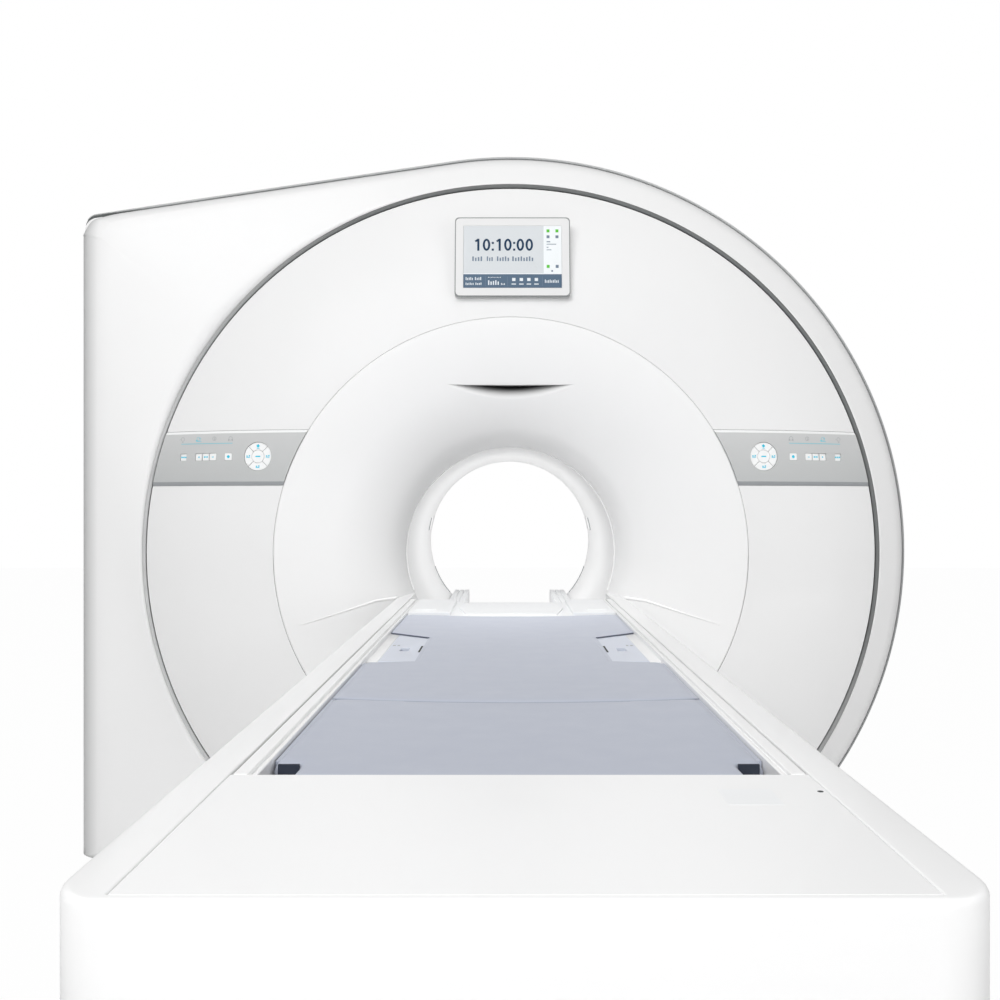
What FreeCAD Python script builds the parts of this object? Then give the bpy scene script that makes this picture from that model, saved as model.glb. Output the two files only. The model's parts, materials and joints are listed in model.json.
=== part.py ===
"""Magnetic resonance scanner: a short magnet in moulded covers, and its lifting patient table.

The frame is +X to the right seen from the patient's side, +Y through the bore to the rear and +Z up.
Its origin is on the floor, straight under the isocentre. All sizes are in millimetres.
"""
import FreeCAD, Part
import Sketcher
import math
import os
import re

Vector = FreeCAD.Vector
Placement = FreeCAD.Placement
Rotation = FreeCAD.Rotation

LEFT, RIGHT = "left", "right"
SIDES = {"left": -1, "right": 1}

DIMENSIONS = [
    # the bore and the gantry's covers, seen from the patient's side
    ("iso_height", 910, "isocentre above the floor"),
    ("bore_radius", 300, "patient bore"),
    ("bore_half", 491, "isocentre to each end of the bore tube"),
    ("cover_wall", 6, "moulded covers"),
    ("seam_gap", 0.8, "gap between neighbouring covers"),
    ("flange_length", 25, "turned-in flange at a cover's edge"),
    ("seam_radius", 643, "seam between funnel and ring panel"),
    ("seam_depth", 681, "isocentre to the front of the covers"),
    ("lip_round", 120, "small rounding of the funnel at its lip"),
    ("trim_radius", 1023, "inner edge of the bright ring"),
    ("trim_depth", 570, "isocentre to the bright ring's face"),
    ("trim_width", 14, "bright ring"),
    ("trim_height", 16, "bright ring, front to back"),
    ("ring_sunk", 4, "front cover's inner edge behind the bright ring's face"),
    ("dome_radius", 1100, "doming of the ring panel"),
    ("rim_width", 122, "round side of the gantry outside the bright ring's inner edge"),
    ("edge_depth", 437, "isocentre to the front cover's rear edge"),
    ("edge_trim_width", 14, "bright strip round the gantry's edge"),
    ("edge_trim_depth", 26, "bright strip, front to back"),
    ("edge_bead", 6, "raised outer bead of the bright strip"),
    ("edge_trim_lead", 4, "bright strip in front of the front cover's rear edge"),
    ("edge_groove_sunk", 12, "groove behind the bright strip's face"),
    ("edge_web_lap", 4, "bright strip behind the front cover"),
    ("shoulder_depth", 515, "isocentre to the front cover's shoulder"),
    ("shoulder_inset", 40, "shoulder inside the front cover's edge"),
    ("wall_stand", 105, "flat left wall beyond the round side's radius"),
    ("roof_slope", 8.4, "fall of the roof towards the left wall, degrees"),
    ("corner_radius", 38, "upper left corner"),
    ("toe_radius", 22, "lower left corner"),
    ("under_angle", 62, "where the front cover's round side is cut off under the floor, degrees"),
    ("floor_gap", 28, "covers above the floor"),
    ("rear_edge", 560, "isocentre to the side covers' rear edge"),
    ("rear_bulge", 40, "rear cover behind its edge"),
    ("rear_opening", 440, "rear mouth of the bore at the cover's face"),
    ("rear_lip", 36, "steeper first part of the rear mouth"),
    ("notch_low", 50, "bore tube's rear notches above the isocentre, lower edge"),
    ("notch_high", 95, "bore tube's rear notches above the isocentre, upper edge"),
    ("notch_depth", 14, "bore tube's rear notches, front to back"),
    # recesses in the funnel
    ("recess_back", 565, "isocentre to the table recess's back wall"),
    ("recess_back_half", 302, "table recess, half width at the back"),
    ("recess_mouth_half", 560, "table recess, half width at its mouth"),
    ("recess_mouth_depth", 684, "isocentre to the table recess's mouth"),
    ("recess_heel_half", 352, "table recess, half width at its first bend"),
    ("recess_heel_depth", 604, "isocentre to the table recess's first bend"),
    ("recess_cheek_half", 446, "table recess, half width at its second bend"),
    ("recess_cheek_depth", 654, "isocentre to the table recess's second bend"),
    ("recess_top_drop", 100, "isocentre down to the table recess's top"),
    ("recess_floor", 378, "table recess's floor above the room's floor"),
    ("recess_flare_drop", 325, "isocentre down to the flare's floor in the table recess"),
    ("recess_slot_half", 322, "table recess below its flare, half width"),
    ("vent_top", 463, "air vent's straight upper edge above the isocentre"),
    ("vent_depth", 634.3, "isocentre to the vent scoop's deepest line"),
    ("vent_round", 639, "vent scoop's radius"),
    ("vent_height", 120, "vent scoop's cutter, top to bottom"),
    # control panels and their keys
    ("band_bottom", 187, "control panel's lower edge above the isocentre"),
    ("band_top", 338, "control panel's upper edge above the isocentre"),
    ("band_proud", 4, "control panel in front of the ring panel"),
    ("band_thickness", 18, "control panel"),
    ("key_row", 266, "key row above the isocentre"),
    ("key_width", 20.5, "square key"),
    ("key_height", 19, "square key"),
    ("key_corner", 1.6, "square key's corners"),
    ("key_thickness", 7, "all keys"),
    ("key_proud", 1.6, "keys in front of the control panel"),
    ("key_travel", 1, "all keys"),
    ("key_gap", 0.4, "clearance round a key"),
    ("key_outer_share", 0.7967, "outer square key, share of the way from seam to bright ring"),
    ("key_inner_share", 0.4612, "inner square key, share of the way from seam to bright ring"),
    ("rocker_share", 0.6277, "middle of the three keys, share of the way from seam to bright ring"),
    ("rocker_pitch", 21.3, "between the three keys"),
    ("dial_share", 0.2515, "round key pad, share of the way from seam to bright ring"),
    ("dial_radius", 38.7, "round key pad"),
    ("dial_core_radius", 17.6, "round key pad's middle key"),
    ("dial_gap", 1.1, "between the round pad's keys"),
    # display over the bore
    ("display_width", 312, "display housing"),
    ("display_height", 222.5, "display housing"),
    ("display_thickness", 74, "display housing, front to back"),
    ("display_corner", 11, "display housing's corners"),
    ("display_centre_x", 4.6, "display right of the isocentre"),
    ("display_share", 0.14211, "display's lower edge, share of the way from seam to bright ring"),
    ("display_lead", 9, "display's lower front edge in front of the seam"),
    ("display_tilt", 8, "display leaning back, degrees"),
    ("screen_width", 266, "screen glass"),
    ("screen_height", 175, "screen glass"),
    ("screen_thickness", 4, "screen glass"),
    ("screen_sunk", 0.6, "screen glass below the housing's face"),
    # magnet, coils and what carries them
    ("warm_bore", 450, "magnet vessel's bore radius"),
    ("vessel_floor_gap", 60, "magnet vessel above the floor"),
    ("vessel_half", 500, "magnet vessel's half length"),
    ("turret_x", 480, "service turret left of the isocentre"),
    ("turret_radius", 140, "service turret"),
    ("turret_drop", 15, "service turret's top below the vessel's crown"),
    ("cold_head_radius", 72, "cold head"),
    ("cold_head_headroom", 85, "cold head's top below the roof"),
    ("gradient_wall", 85, "gradient coil's moulded wall"),
    ("gradient_half", 485, "gradient coil's half length"),
    ("fit_gap", 0.3, "clearance between nested round pieces"),
    ("coil_former_radius", 312, "radio coil's former"),
    ("coil_former_wall", 5, "radio coil's former"),
    ("coil_half", 320, "radio coil's half length"),
    ("coil_end", 24, "radio coil's former beyond its rungs"),
    ("rung_count", 16, "radio coil's rungs"),
    ("rung_width", 26, "radio coil's rungs"),
    ("foot_x", 520, "magnet feet beside the isocentre"),
    ("foot_plate_half", 90, "magnet foot's base plate, half width"),
    ("foot_plate_length", 960, "magnet foot's base plate"),
    ("foot_plate_height", 30, "magnet foot's base plate"),
    ("foot_web_half", 60, "magnet foot's saddle, half width"),
    ("foot_web_length", 660, "magnet foot's saddle"),
    ("floor_bolt_y", 400, "floor bolts before and behind the isocentre"),
    ("floor_bolt_radius", 13, "floor bolt holes"),
    ("frame_bar", 40, "square bars of the frame behind the front covers"),
    # patient table
    ("table_drop", 113, "isocentre down to the table's rim, raised"),
    ("table_half", 305.5, "table's half width"),
    ("table_depth", 140, "table's shell, top to bottom"),
    ("table_side", 77, "upright part of the table's side"),
    ("table_sole_half", 262, "table's underside, half width"),
    ("table_edge_round", 7, "table's upper edges"),
    ("table_head", 580, "isocentre to the table's head end"),
    ("table_foot", 2826, "isocentre to the table's foot end"),
    ("table_wall", 10, "table's end walls"),
    ("table_sole", 6, "table's bottom wall"),
    ("table_foot_round", 70, "table's foot corners"),
    ("rim_taper_start", 812, "isocentre to the start of the rims' taper"),
    ("rim_taper_radius", 704, "rims' taper at the head end"),
    ("tray_half", 266, "trough for the cradle, half width"),
    ("frame_half", 251.5, "table frame, half width"),
    ("frame_gap", 0.5, "table frame in its shell"),
    ("frame_wall", 6, "table frame's profile"),
    ("rail_drop", 193, "isocentre down to the rails"),
    ("rail_step", 12, "rails above the frame"),
    ("rail_inner", 155, "rails' inner edges"),
    ("rail_outer", 210, "rails' outer edges"),
    ("rail_groove", 4, "grooves in the bore rails"),
    ("bore_rail_front", 560, "isocentre to the bore rails' front"),
    ("bore_rail_rear", 540, "isocentre to the bore rails' rear"),
    ("runner_gap", 0.3, "cradle above its rails"),
    ("cradle_half", 263, "cradle's half width"),
    ("cradle_head", 760, "isocentre to the cradle's head end"),
    ("cradle_foot", 2556, "isocentre to the cradle's foot end"),
    ("cradle_skirt", 22, "cradle's upright edge"),
    ("cradle_sole_half", 212, "cradle's underside, half width"),
    ("cradle_belly", 200, "curve of the cradle's underside"),
    ("deck_drop", 142, "isocentre down to the cradle's deck"),
    ("deck_half", 241, "well for the pads, half width"),
    ("groove_outer", 249.5, "accessory groove's outer side"),
    ("groove_inner", 245.5, "accessory groove's inner side"),
    ("groove_depth", 5, "accessory groove"),
    ("ledge_drop", 1, "ledge beside the pads below the rim"),
    ("pad_half", 240, "pads' half width"),
    ("pad_drop", 117, "isocentre down to the pads' edges"),
    ("pad_gap", 0.3, "pads above the deck"),
    ("pad_dish", 5430, "hollow of the pads' tops, radius"),
    ("pad_round", 7, "pads' edges"),
    ("pad_end_bevel", 5, "pads' ends"),
    ("pad_head_end", 1102, "isocentre to the head pad's far end"),
    ("pad_seam", 2155, "isocentre to the seam between the pads"),
    ("pad_seam_gap", 1.5, "between the pads"),
    ("pad_foot_end", 2548, "isocentre to the foot pad's near end"),
    ("notch_far", 1438, "isocentre to the pad notch's far corner"),
    ("notch_far_inner", 1512, "isocentre to the pad notch's far inner corner"),
    ("notch_near_inner", 1809, "isocentre to the pad notch's near inner corner"),
    ("notch_near", 1842, "isocentre to the pad notch's near corner"),
    ("notch_inner", 159, "pad notch's inner side"),
    ("corner_cut_wide", 28, "foot pad's corner cut-outs"),
    ("corner_cut_long", 53, "foot pad's corner cut-outs"),
    ("socket_inner", 161, "coil socket plate's inner edge"),
    ("socket_outer", 222, "coil socket plate's outer edge"),
    ("socket_far", 1458, "isocentre to the coil socket plate's far outer corner"),
    ("socket_far_inner", 1514, "isocentre to the coil socket plate's far inner corner"),
    ("socket_near", 1806, "isocentre to the coil socket plate's near end"),
    ("socket_plate", 20.5, "coil socket plate"),
    ("socket_cut_x", 16, "coil socket's mouth"),
    ("socket_cut_y", 39, "coil socket's mouth"),
    ("socket_cut_depth", 8, "coil socket"),
    ("socket_cut_centre_y", 1664, "isocentre to the coil socket's mouth"),
    ("head_plate_end", 1098, "isocentre to the head plate's near end"),
    ("head_bay_half", 142, "head plate's sunken middle, half width"),
    ("head_bay_depth", 8, "head plate's sunken middle"),
    ("head_hex_half", 127, "raised six-sided panel, half width"),
    ("head_hex_end_half", 106, "raised six-sided panel, half width at its ends"),
    ("head_hex_height", 4, "raised six-sided panel"),
    ("head_hex_far", 800, "isocentre to the six-sided panel's far end"),
    ("head_hex_near", 1084, "isocentre to the six-sided panel's near end"),
    ("head_bar_inner", 178, "raised bar on the head plate"),
    ("head_bar_outer", 228, "raised bar on the head plate"),
    ("head_bar_y", 1024, "isocentre to the raised bars"),
    ("head_bar_length", 18, "raised bars"),
    ("head_bar_height", 2, "raised bars"),
    ("foot_cover_gap", 0.8, "round the foot cover"),
    ("foot_cover_wall", 5, "foot cover"),
    # pedestal
    ("base_height", 12, "table's floor plate"),
    ("base_half", 260, "table's floor plate, half width"),
    ("pedestal_front", 1350, "isocentre to the pedestal"),
    ("pedestal_back", 2250, "isocentre to the pedestal's far side"),
    ("base_margin", 60, "floor plate beyond the pedestal"),
    ("base_tongue_half", 150, "floor plate's tongue towards the magnet"),
    ("base_bar_length", 80, "bar across the magnet feet"),
    ("anchor_x", 245, "table's floor bolts beside the middle"),
    ("anchor_radius", 7, "table's floor bolt holes"),
    ("pedestal_half", 230, "lower pedestal cover, half width"),
    ("pedestal_wall", 5, "pedestal covers"),
    ("pedestal_corner", 45, "pedestal covers' corners"),
    ("pedestal_gap", 0.8, "between nested pedestal covers"),
    ("pedestal_low_top", 330, "lower pedestal cover's top"),
    ("pedestal_mid_base", 175, "middle pedestal cover's underside"),
    ("pedestal_mid_height", 300, "middle pedestal cover"),
    ("pedestal_mid_floor", 8, "bridge from the middle cover to the middle column"),
    ("pedestal_top_height", 320, "upper pedestal cover"),
    ("column_half", 52, "fixed lift column, half width"),
    ("column_wall", 8, "lift columns"),
    ("column_gap", 0.5, "between nested lift columns"),
    ("column_low_top", 340, "fixed lift column's top"),
    ("column_mid_height", 320, "middle lift column"),
    ("column_top_height", 325, "upper lift column"),
]

doc = FreeCAD.newDocument("mri_scanner")
sheet = doc.addObject("Spreadsheet::Sheet", "Sizes")
for row, (alias, number, meaning) in enumerate(DIMENSIONS, 1):
    sheet.set(f"A{row}", meaning)
    sheet.set(f"B{row}", str(number))
    sheet.setAlias(f"B{row}", alias)
doc.recompute()

ALIASES = {alias for alias, number, meaning in DIMENSIONS}
nodes = {}

# sizes that follow from others
EDGE_RADIUS = "(trim_radius + rim_width)"
WALL_LEFT = f"({EDGE_RADIUS} + wall_stand)"
VESSEL_RADIUS = "(iso_height - vessel_floor_gap)"
TURRET_TOP = f"({VESSEL_RADIUS} - turret_drop)"


# ---------------------------------------------------------------- expressions and sketches

def bind(text):
    """The expression with each size's name pointed at its cell."""
    return re.sub(r"\b[a-z]\w*\b", lambda word: f"Sizes.{word[0]}" if word[0] in ALIASES else word[0], text)


def value(text):
    """The number that an expression gives now."""
    return float(sheet.evalExpression(bind(text)))


def hold(thing, prop, text):
    """Ties a property to an expression of the sheet's sizes."""
    thing.setExpression(prop, bind(text))


def new_sketch(body, name, plane, depth="0"):
    """A sketch on one of the body's own origin planes, moved along the plane's normal by depth."""
    sketch = body.newObject("Sketcher::SketchObject", name)
    origin_plane = [o for o in body.Origin.OriginFeatures if o.Role == plane][0]
    sketch.AttachmentSupport = [(origin_plane, "")]
    sketch.MapMode = "FlatFace"
    hold(sketch, "AttachmentOffset.Base.z", depth)
    return sketch


def dimension(sketch, kind, *where_and_text):
    """Adds a dimension that follows an expression."""
    *where, text = where_and_text
    index = sketch.addConstraint(Sketcher.Constraint(kind, *where, value(text)))
    hold(sketch, f"Constraints[{index}]", text)


def arc_through(start, end, radius, turn):
    """The short arc from start to end that turns left or right, and which of its ends comes first."""
    chord = end - start
    rise = math.sqrt(max(radius ** 2 - (chord.Length / 2) ** 2, 0))
    side = 1 if turn == LEFT else -1
    across = Vector(-chord.y, chord.x, 0).normalize()
    circle = Part.Circle((start + end) * 0.5 + across * rise * side, Vector(0, 0, 1), radius)
    first, last = (start, end) if turn == LEFT else (end, start)
    arc = Part.ArcOfCircle(circle, circle.parameter(first), circle.parameter(last))
    return arc, ((1, 2) if turn == LEFT else (2, 1))


def draw_loop(sketch, loop):
    """Draws a closed loop. Each entry is where an edge ends: (x, y), or (x, y, radius, turn) for an arc."""
    points = [Vector(value(edge[0]), value(edge[1]), 0) for edge in loop]
    first = sketch.GeometryCount
    ends = []
    for index, edge in enumerate(loop):
        start, end = points[index - 1], points[index]
        if len(edge) == 2:
            sketch.addGeometry(Part.LineSegment(start, end), False)
            ends.append((1, 2))
        else:
            arc, order = arc_through(start, end, value(edge[2]), edge[3])
            sketch.addGeometry(arc, False)
            ends.append(order)
    for index, edge in enumerate(loop):
        here, following = first + index, first + (index + 1) % len(loop)
        next_ends = ends[(index + 1) % len(loop)]
        sketch.addConstraint(Sketcher.Constraint("Coincident", here, ends[index][1], following, next_ends[0]))
        dimension(sketch, "DistanceX", -1, 1, following, next_ends[0], edge[0])
        dimension(sketch, "DistanceY", -1, 1, following, next_ends[0], edge[1])
        if len(edge) == 4:
            dimension(sketch, "Radius", here, edge[2])


def rectangle(x_low, x_high, y_low, y_high):
    """A rectangle as a loop."""
    return [(x_high, y_low), (x_high, y_high), (x_low, y_high), (x_low, y_low)]


def rounded_rectangle(half_x, half_y, corner, centre_x="0", centre_y="0"):
    """A rectangle with round corners as a loop, anticlockwise from its lower right."""
    left, right = f"{centre_x} - ({half_x})", f"{centre_x} + ({half_x})"
    low, high = f"{centre_y} - ({half_y})", f"{centre_y} + ({half_y})"
    return [
        (f"{right} - ({corner})", low),
        (right, f"{low} + ({corner})", corner, LEFT),
        (right, f"{high} - ({corner})"),
        (f"{right} - ({corner})", high, corner, LEFT),
        (f"{left} + ({corner})", high),
        (left, f"{high} - ({corner})", corner, LEFT),
        (left, f"{low} + ({corner})"),
        (f"{left} + ({corner})", low, corner, LEFT),
    ]


def cut_corner_rectangle(half_x, half_y, corner):
    """A rectangle about the origin with its corners cut at 45 degrees, as a loop."""
    right_x, high_y = f"({half_x} - {corner})", f"({half_y} - {corner})"
    return [
        (right_x, f"-({half_y})"), (half_x, f"-{high_y}"), (half_x, high_y), (right_x, half_y),
        (f"-{right_x}", half_y), (f"-({half_x})", high_y), (f"-({half_x})", f"-{high_y}"),
        (f"-{right_x}", f"-({half_y})"),
    ]


def arc_points(radius, start, end, runs):
    """Points on a circle about the origin, from one angle to another in degrees, in equal runs."""
    angles = [f"({start} + ({end} - {start}) * {step} / {runs})" for step in range(runs + 1)]
    return [(f"({radius}) * cos({angle})", f"({radius}) * sin({angle})") for angle in angles]


# ---------------------------------------------------------------- features and solids

def new_body(name, x="0", y="0", z="0"):
    """An empty body at a place given by expressions."""
    body = doc.addObject("PartDesign::Body", name)
    for axis, text in (("x", x), ("y", y), ("z", z)):
        if text != "0":
            hold(body, f"Placement.Base.{axis}", text)
    return body


def pad(body, sketch, length, reverse=False):
    """Pushes a sketch out of its plane."""
    feature = body.newObject("PartDesign::Pad", f"{body.Name}_pad")
    feature.Profile = sketch
    feature.Reversed = reverse
    hold(feature, "Length", length)
    sketch.Visibility = False
    return feature


def pocket(body, sketch, length, reverse=False):
    """Cuts a sketch into the body, and makes sure that it took something away."""
    doc.recompute()
    before = body.Shape.Volume
    feature = body.newObject("PartDesign::Pocket", f"{body.Name}_pocket")
    feature.Profile = sketch
    feature.Reversed = reverse
    hold(feature, "Length", length)
    doc.recompute()
    if body.Shape.Volume >= before - 1e-6:
        raise ValueError(f"{body.Name}: a pocket cuts nothing")
    return feature


def prism(name, plane, loop, length, depth="0", reverse=False, holes=(), place=("0", "0", "0")):
    """A body that is one padded outline, with holes if loops are given for them."""
    body = new_body(name, *place)
    sketch = new_sketch(body, f"{name}_outline", plane, depth)
    draw_loop(sketch, loop)
    for hole in holes:
        draw_loop(sketch, hole)
    pad(body, sketch, length, reverse)
    return body


def turned(name, loop, z="iso_height"):
    """A body turned about the bore's axis. The loop's points are (along the axis, radius)."""
    body = new_body(name, z=z)
    sketch = new_sketch(body, f"{name}_profile", "YZ_Plane")
    draw_loop(sketch, loop)
    feature = body.newObject("PartDesign::Revolution", f"{name}_turn")
    feature.Profile = sketch
    feature.ReferenceAxis = (sketch, ["H_Axis"])
    feature.Angle = 360
    return body


def block(name, x, y, z):
    """A box from (low, high) pairs of expressions."""
    box = doc.addObject("Part::Box", name)
    for prop, axis, (low, high) in (("Length", "x", x), ("Width", "y", y), ("Height", "z", z)):
        hold(box, prop, f"({high}) - ({low})")
        hold(box, f"Placement.Base.{axis}", low)
    return box


def rod(name, radius, height, x="0", y="0", z="0"):
    """An upright cylinder that starts at z."""
    cylinder = doc.addObject("Part::Cylinder", name)
    hold(cylinder, "Radius", radius)
    hold(cylinder, "Height", height)
    for axis, text in (("x", x), ("y", y), ("z", z)):
        hold(cylinder, f"Placement.Base.{axis}", text)
    return cylinder


def cross_rod(name, radius, low, high, z="iso_height"):
    """A cylinder along the bore's axis, from low to high."""
    cylinder = rod(name, radius, f"({high}) - ({low})", y=low, z=z)
    cylinder.Placement.Rotation = Rotation(Vector(1, 0, 0), -90)
    return cylinder


def fuse(name, things):
    """One solid from several."""
    result = doc.addObject("Part::MultiFuse", name)
    result.Shapes = things
    result.Refine = True
    return result


def common(name, things):
    """What several solids share."""
    result = doc.addObject("Part::MultiCommon", name)
    result.Shapes = things
    return result


def cut(name, base, tools):
    """A solid less some others, one after the other."""
    for number, tool in enumerate(tools, 1):
        result = doc.addObject("Part::Cut", name if number == len(tools) else f"{name}_less_{number}")
        result.Base = base
        result.Tool = tool
        base = result
    return base


def keep(name, thing):
    """Names a finished sub-part. Its label names its file."""
    thing.Label = name
    nodes[name] = thing
    return thing


def edges_where(shape, test):
    """The names of a shape's edges whose middle passes the test."""
    names = []
    for number, edge in enumerate(shape.Edges, 1):
        middle = edge.valueAt((edge.FirstParameter + edge.LastParameter) / 2)
        if test(middle, edge):
            names.append(f"Edge{number}")
    return names


def dress(body, kind, amount, test):
    """Fillets or chamfers the edges of the body's tip that pass the test."""
    doc.recompute()
    tip = body.Tip
    names = edges_where(tip.Shape, test)
    if not names:
        raise ValueError(f"{body.Name}: no edge to dress")
    feature = body.newObject(f"PartDesign::{kind}", f"{body.Name}_{kind.lower()}")
    feature.Base = (tip, names)
    hold(feature, "Radius" if kind == "Fillet" else "Size", amount)
    return feature


# ---------------------------------------------------------------- the gantry's outline

ROOF_SPLIT = f"(-{WALL_LEFT} + corner_radius + edge_trim_width)"

def gantry_loop(inset, left_inset, foot="floor_gap"):
    """The gantry seen along the bore, about the isocentre, moved in by an inset.

    A flat left wall, a roof that rises to the right, and a round right side cut off near the floor.
    """
    radius = f"({EDGE_RADIUS} - ({inset}))"
    left = f"(-({WALL_LEFT} - ({left_inset})))"
    corner = "corner_radius"
    corner_x = f"({left} + {corner})"
    corner_z = f"(({radius} - {corner} + {corner_x} * sin(roof_slope)) / cos(roof_slope))"
    bottom = f"(({foot}) - iso_height)"
    return [
        (f"{left} + toe_radius", bottom),
        (left, f"{bottom} + toe_radius", "toe_radius", RIGHT),
        (left, corner_z),
        (f"{corner_x} - {corner} * sin(roof_slope)", f"{corner_z} + {corner} * cos(roof_slope)",
         corner, RIGHT),
        (f"-{radius} * sin(roof_slope)", f"{radius} * cos(roof_slope)"),
        (f"sqrt({radius} ^ 2 - {bottom} ^ 2)", bottom, radius, RIGHT),
    ]


def deep_gantry_loop(inset, left_inset):
    """The same outline carried on under the floor, so that its round side ends at one angle at any inset."""
    loop = gantry_loop(inset, left_inset)
    radius = f"({EDGE_RADIUS} - ({inset}))"
    bottom = f"(-{radius} * sin(under_angle))"
    left = f"(-({WALL_LEFT} - ({left_inset})))"
    return [(left, bottom)] + loop[2:5] + [(f"{radius} * cos(under_angle)", bottom, radius, RIGHT)]


def deep_ring_loop(radius):
    """A circle about the isocentre with one edge for each of the deep outline's."""
    bottom = f"(-({radius}) * sin(under_angle))"
    points = [(f"({radius}) * cos({a})", f"({radius}) * sin({a})", radius, RIGHT)
              for a in ("143", "141", "(90 + roof_slope)")]
    return [(f"-({radius}) * cos(under_angle)", bottom)] + points + [
        (f"({radius}) * cos(under_angle)", bottom, radius, RIGHT)]


def front_loft(name, outlines):
    """The front cover's filled form: from the ring's circle over the shoulder to the outline."""
    body = new_body(name, z="iso_height")
    loops = [(deep_ring_loop("(trim_radius + trim_width + seam_gap)"), "trim_depth - ring_sunk")]
    loops += [(deep_gantry_loop(inset, left), depth) for inset, left, depth in outlines]
    sketches = []
    for loop, depth in loops:
        sketch = new_sketch(body, f"{name}_section", "XZ_Plane", depth)
        draw_loop(sketch, loop)
        sketches.append(sketch)
    loft = body.newObject("PartDesign::AdditiveLoft", f"{name}_loft")
    loft.Profile = sketches[0]
    loft.Sections = sketches[1:]
    loft.Ruled = True
    return body


def below_floor_gap(name):
    """What is cut off under the covers."""
    return block(name, (f"-2 * {WALL_LEFT}", f"2 * {WALL_LEFT}"), ("-3 * seam_depth", "3 * seam_depth"),
                 (f"-{EDGE_RADIUS}", "floor_gap"))


def make_front_cover():
    """The moulded front with its rounded shoulder, hollowed from behind in two steps and open to the ring."""
    shoulder = ("edge_trim_width + shoulder_inset", "2 * shoulder_inset", "shoulder_depth")
    bend = ("edge_trim_width + shoulder_inset / 3", "shoulder_inset / 2",
            "(2 * shoulder_depth + edge_depth) / 3")
    outer = front_loft("front_cover_outside", [shoulder, bend, ("edge_trim_width", "0", "edge_depth")])
    hollows = []
    for step, (inset, left, depth) in enumerate((bend, shoulder), 1):
        loop = deep_gantry_loop(f"{inset} + cover_wall", f"{left} + cover_wall")
        hollows.append(prism(f"front_cover_hollow_{step}", "XZ_Plane", loop, f"{depth} - cover_wall",
                             depth=f"{depth} - cover_wall", reverse=True, place=("0", "0", "iso_height")))
    opening = cross_rod("front_cover_opening", "trim_radius + trim_width + seam_gap", "-2 * seam_depth", "0")
    keep("front_cover", cut("front_cover", outer, hollows + [opening, below_floor_gap("front_cover_foot")]))


def make_edge_trim():
    """The bright strip: an outer bead in front of a shadow groove, round roof and right side."""
    bead = prism("edge_trim_bead", "XZ_Plane", deep_gantry_loop("0", "0"), "edge_trim_depth",
                 depth="edge_depth + edge_trim_lead", reverse=True, place=("0", "0", "iso_height"),
                 holes=[deep_gantry_loop("edge_bead", "edge_bead")])
    inset = "edge_trim_width + edge_web_lap"
    web = prism("edge_trim_web", "XZ_Plane", deep_gantry_loop("edge_bead / 2", "edge_bead / 2"),
                "edge_trim_depth - edge_groove_sunk", depth="edge_depth + edge_trim_lead - edge_groove_sunk",
                reverse=True, place=("0", "0", "iso_height"), holes=[deep_gantry_loop(inset, inset)])
    left = block("edge_trim_left", (f"-2 * {WALL_LEFT}", ROOF_SPLIT), ("-seam_depth", "0"),
                 (f"-{EDGE_RADIUS}", "3 * iso_height"))
    keep("edge_trim", cut("edge_trim", fuse("edge_trim_strip", [bead, web]),
                          [left, below_floor_gap("edge_trim_foot")]))


def make_side_covers():
    """The left wall with its upper corner, and the roof that runs on down the round right side."""
    span = (("-2 * seam_depth", "2 * seam_depth"), (f"-{EDGE_RADIUS}", "3 * iso_height"))
    front = "(edge_depth - seam_gap)"
    wall = prism("side_cover_left_wrap", "XZ_Plane", gantry_loop("0", "0"), f"{front} + rear_edge",
                 depth=front, reverse=True, place=("0", "0", "iso_height"),
                 holes=[gantry_loop("cover_wall", "cover_wall", "floor_gap + cover_wall")])
    side = block("side_cover_left_side", (f"-2 * {WALL_LEFT}", ROOF_SPLIT), *span)
    foot = block("side_cover_left_foot", (f"-{WALL_LEFT} + cover_wall", f"2 * {WALL_LEFT}"), span[0],
                 ("0", "floor_gap + cover_wall + toe_radius"))
    keep("side_cover_left", cut("side_cover_left", common("side_cover_left_part", [wall, side]), [foot]))
    front = "(edge_depth + edge_trim_lead - edge_trim_depth - seam_gap)"
    roof = prism("roof_cover_wrap", "XZ_Plane", deep_gantry_loop("0", "0"), f"{front} + rear_edge",
                 depth=front, reverse=True, place=("0", "0", "iso_height"),
                 holes=[deep_gantry_loop("cover_wall", "cover_wall")])
    side = block("roof_cover_side", (f"{ROOF_SPLIT} + seam_gap", f"2 * {WALL_LEFT}"), *span)
    keep("roof_cover", cut("roof_cover", common("roof_cover_part", [roof, side]),
                           [below_floor_gap("roof_cover_foot")]))


def make_rear_cover():
    """The rear cover: a deep tray, and the conical rear mouth of the bore moulded in one piece with it."""
    front, back = "(rear_edge + seam_gap)", "(rear_edge + rear_bulge)"
    tray = prism("rear_cover_tray", "XZ_Plane", gantry_loop("0", "0"), f"{back} - {front}",
                 depth=f"-{front}", reverse=True, place=("0", "0", "iso_height"))
    inside = gantry_loop("cover_wall", "cover_wall", "floor_gap + cover_wall")
    hollow = prism("rear_cover_hollow", "XZ_Plane", inside, f"{back} - cover_wall - {front}",
                   depth=f"-{front}", reverse=True, place=("0", "0", "iso_height"))
    mouth = [("bore_half", "bore_radius"), ("bore_half + rear_lip", "bore_radius + rear_lip / 3"),
             (back, "rear_opening")]
    wall = [(f"{back} - cover_wall", "rear_opening + cover_wall"), ("bore_half", "bore_radius + cover_wall")]
    funnel = turned("rear_cover_mouth", mouth + wall)
    opening = turned("rear_cover_opening", mouth + [(back, "0"), ("bore_half", "0")])
    shell = cut("rear_cover_shell", tray, [hollow, opening])
    keep("rear_cover", fuse("rear_cover", [shell, funnel]))


# ---------------------------------------------------------------- turned covers

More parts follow.
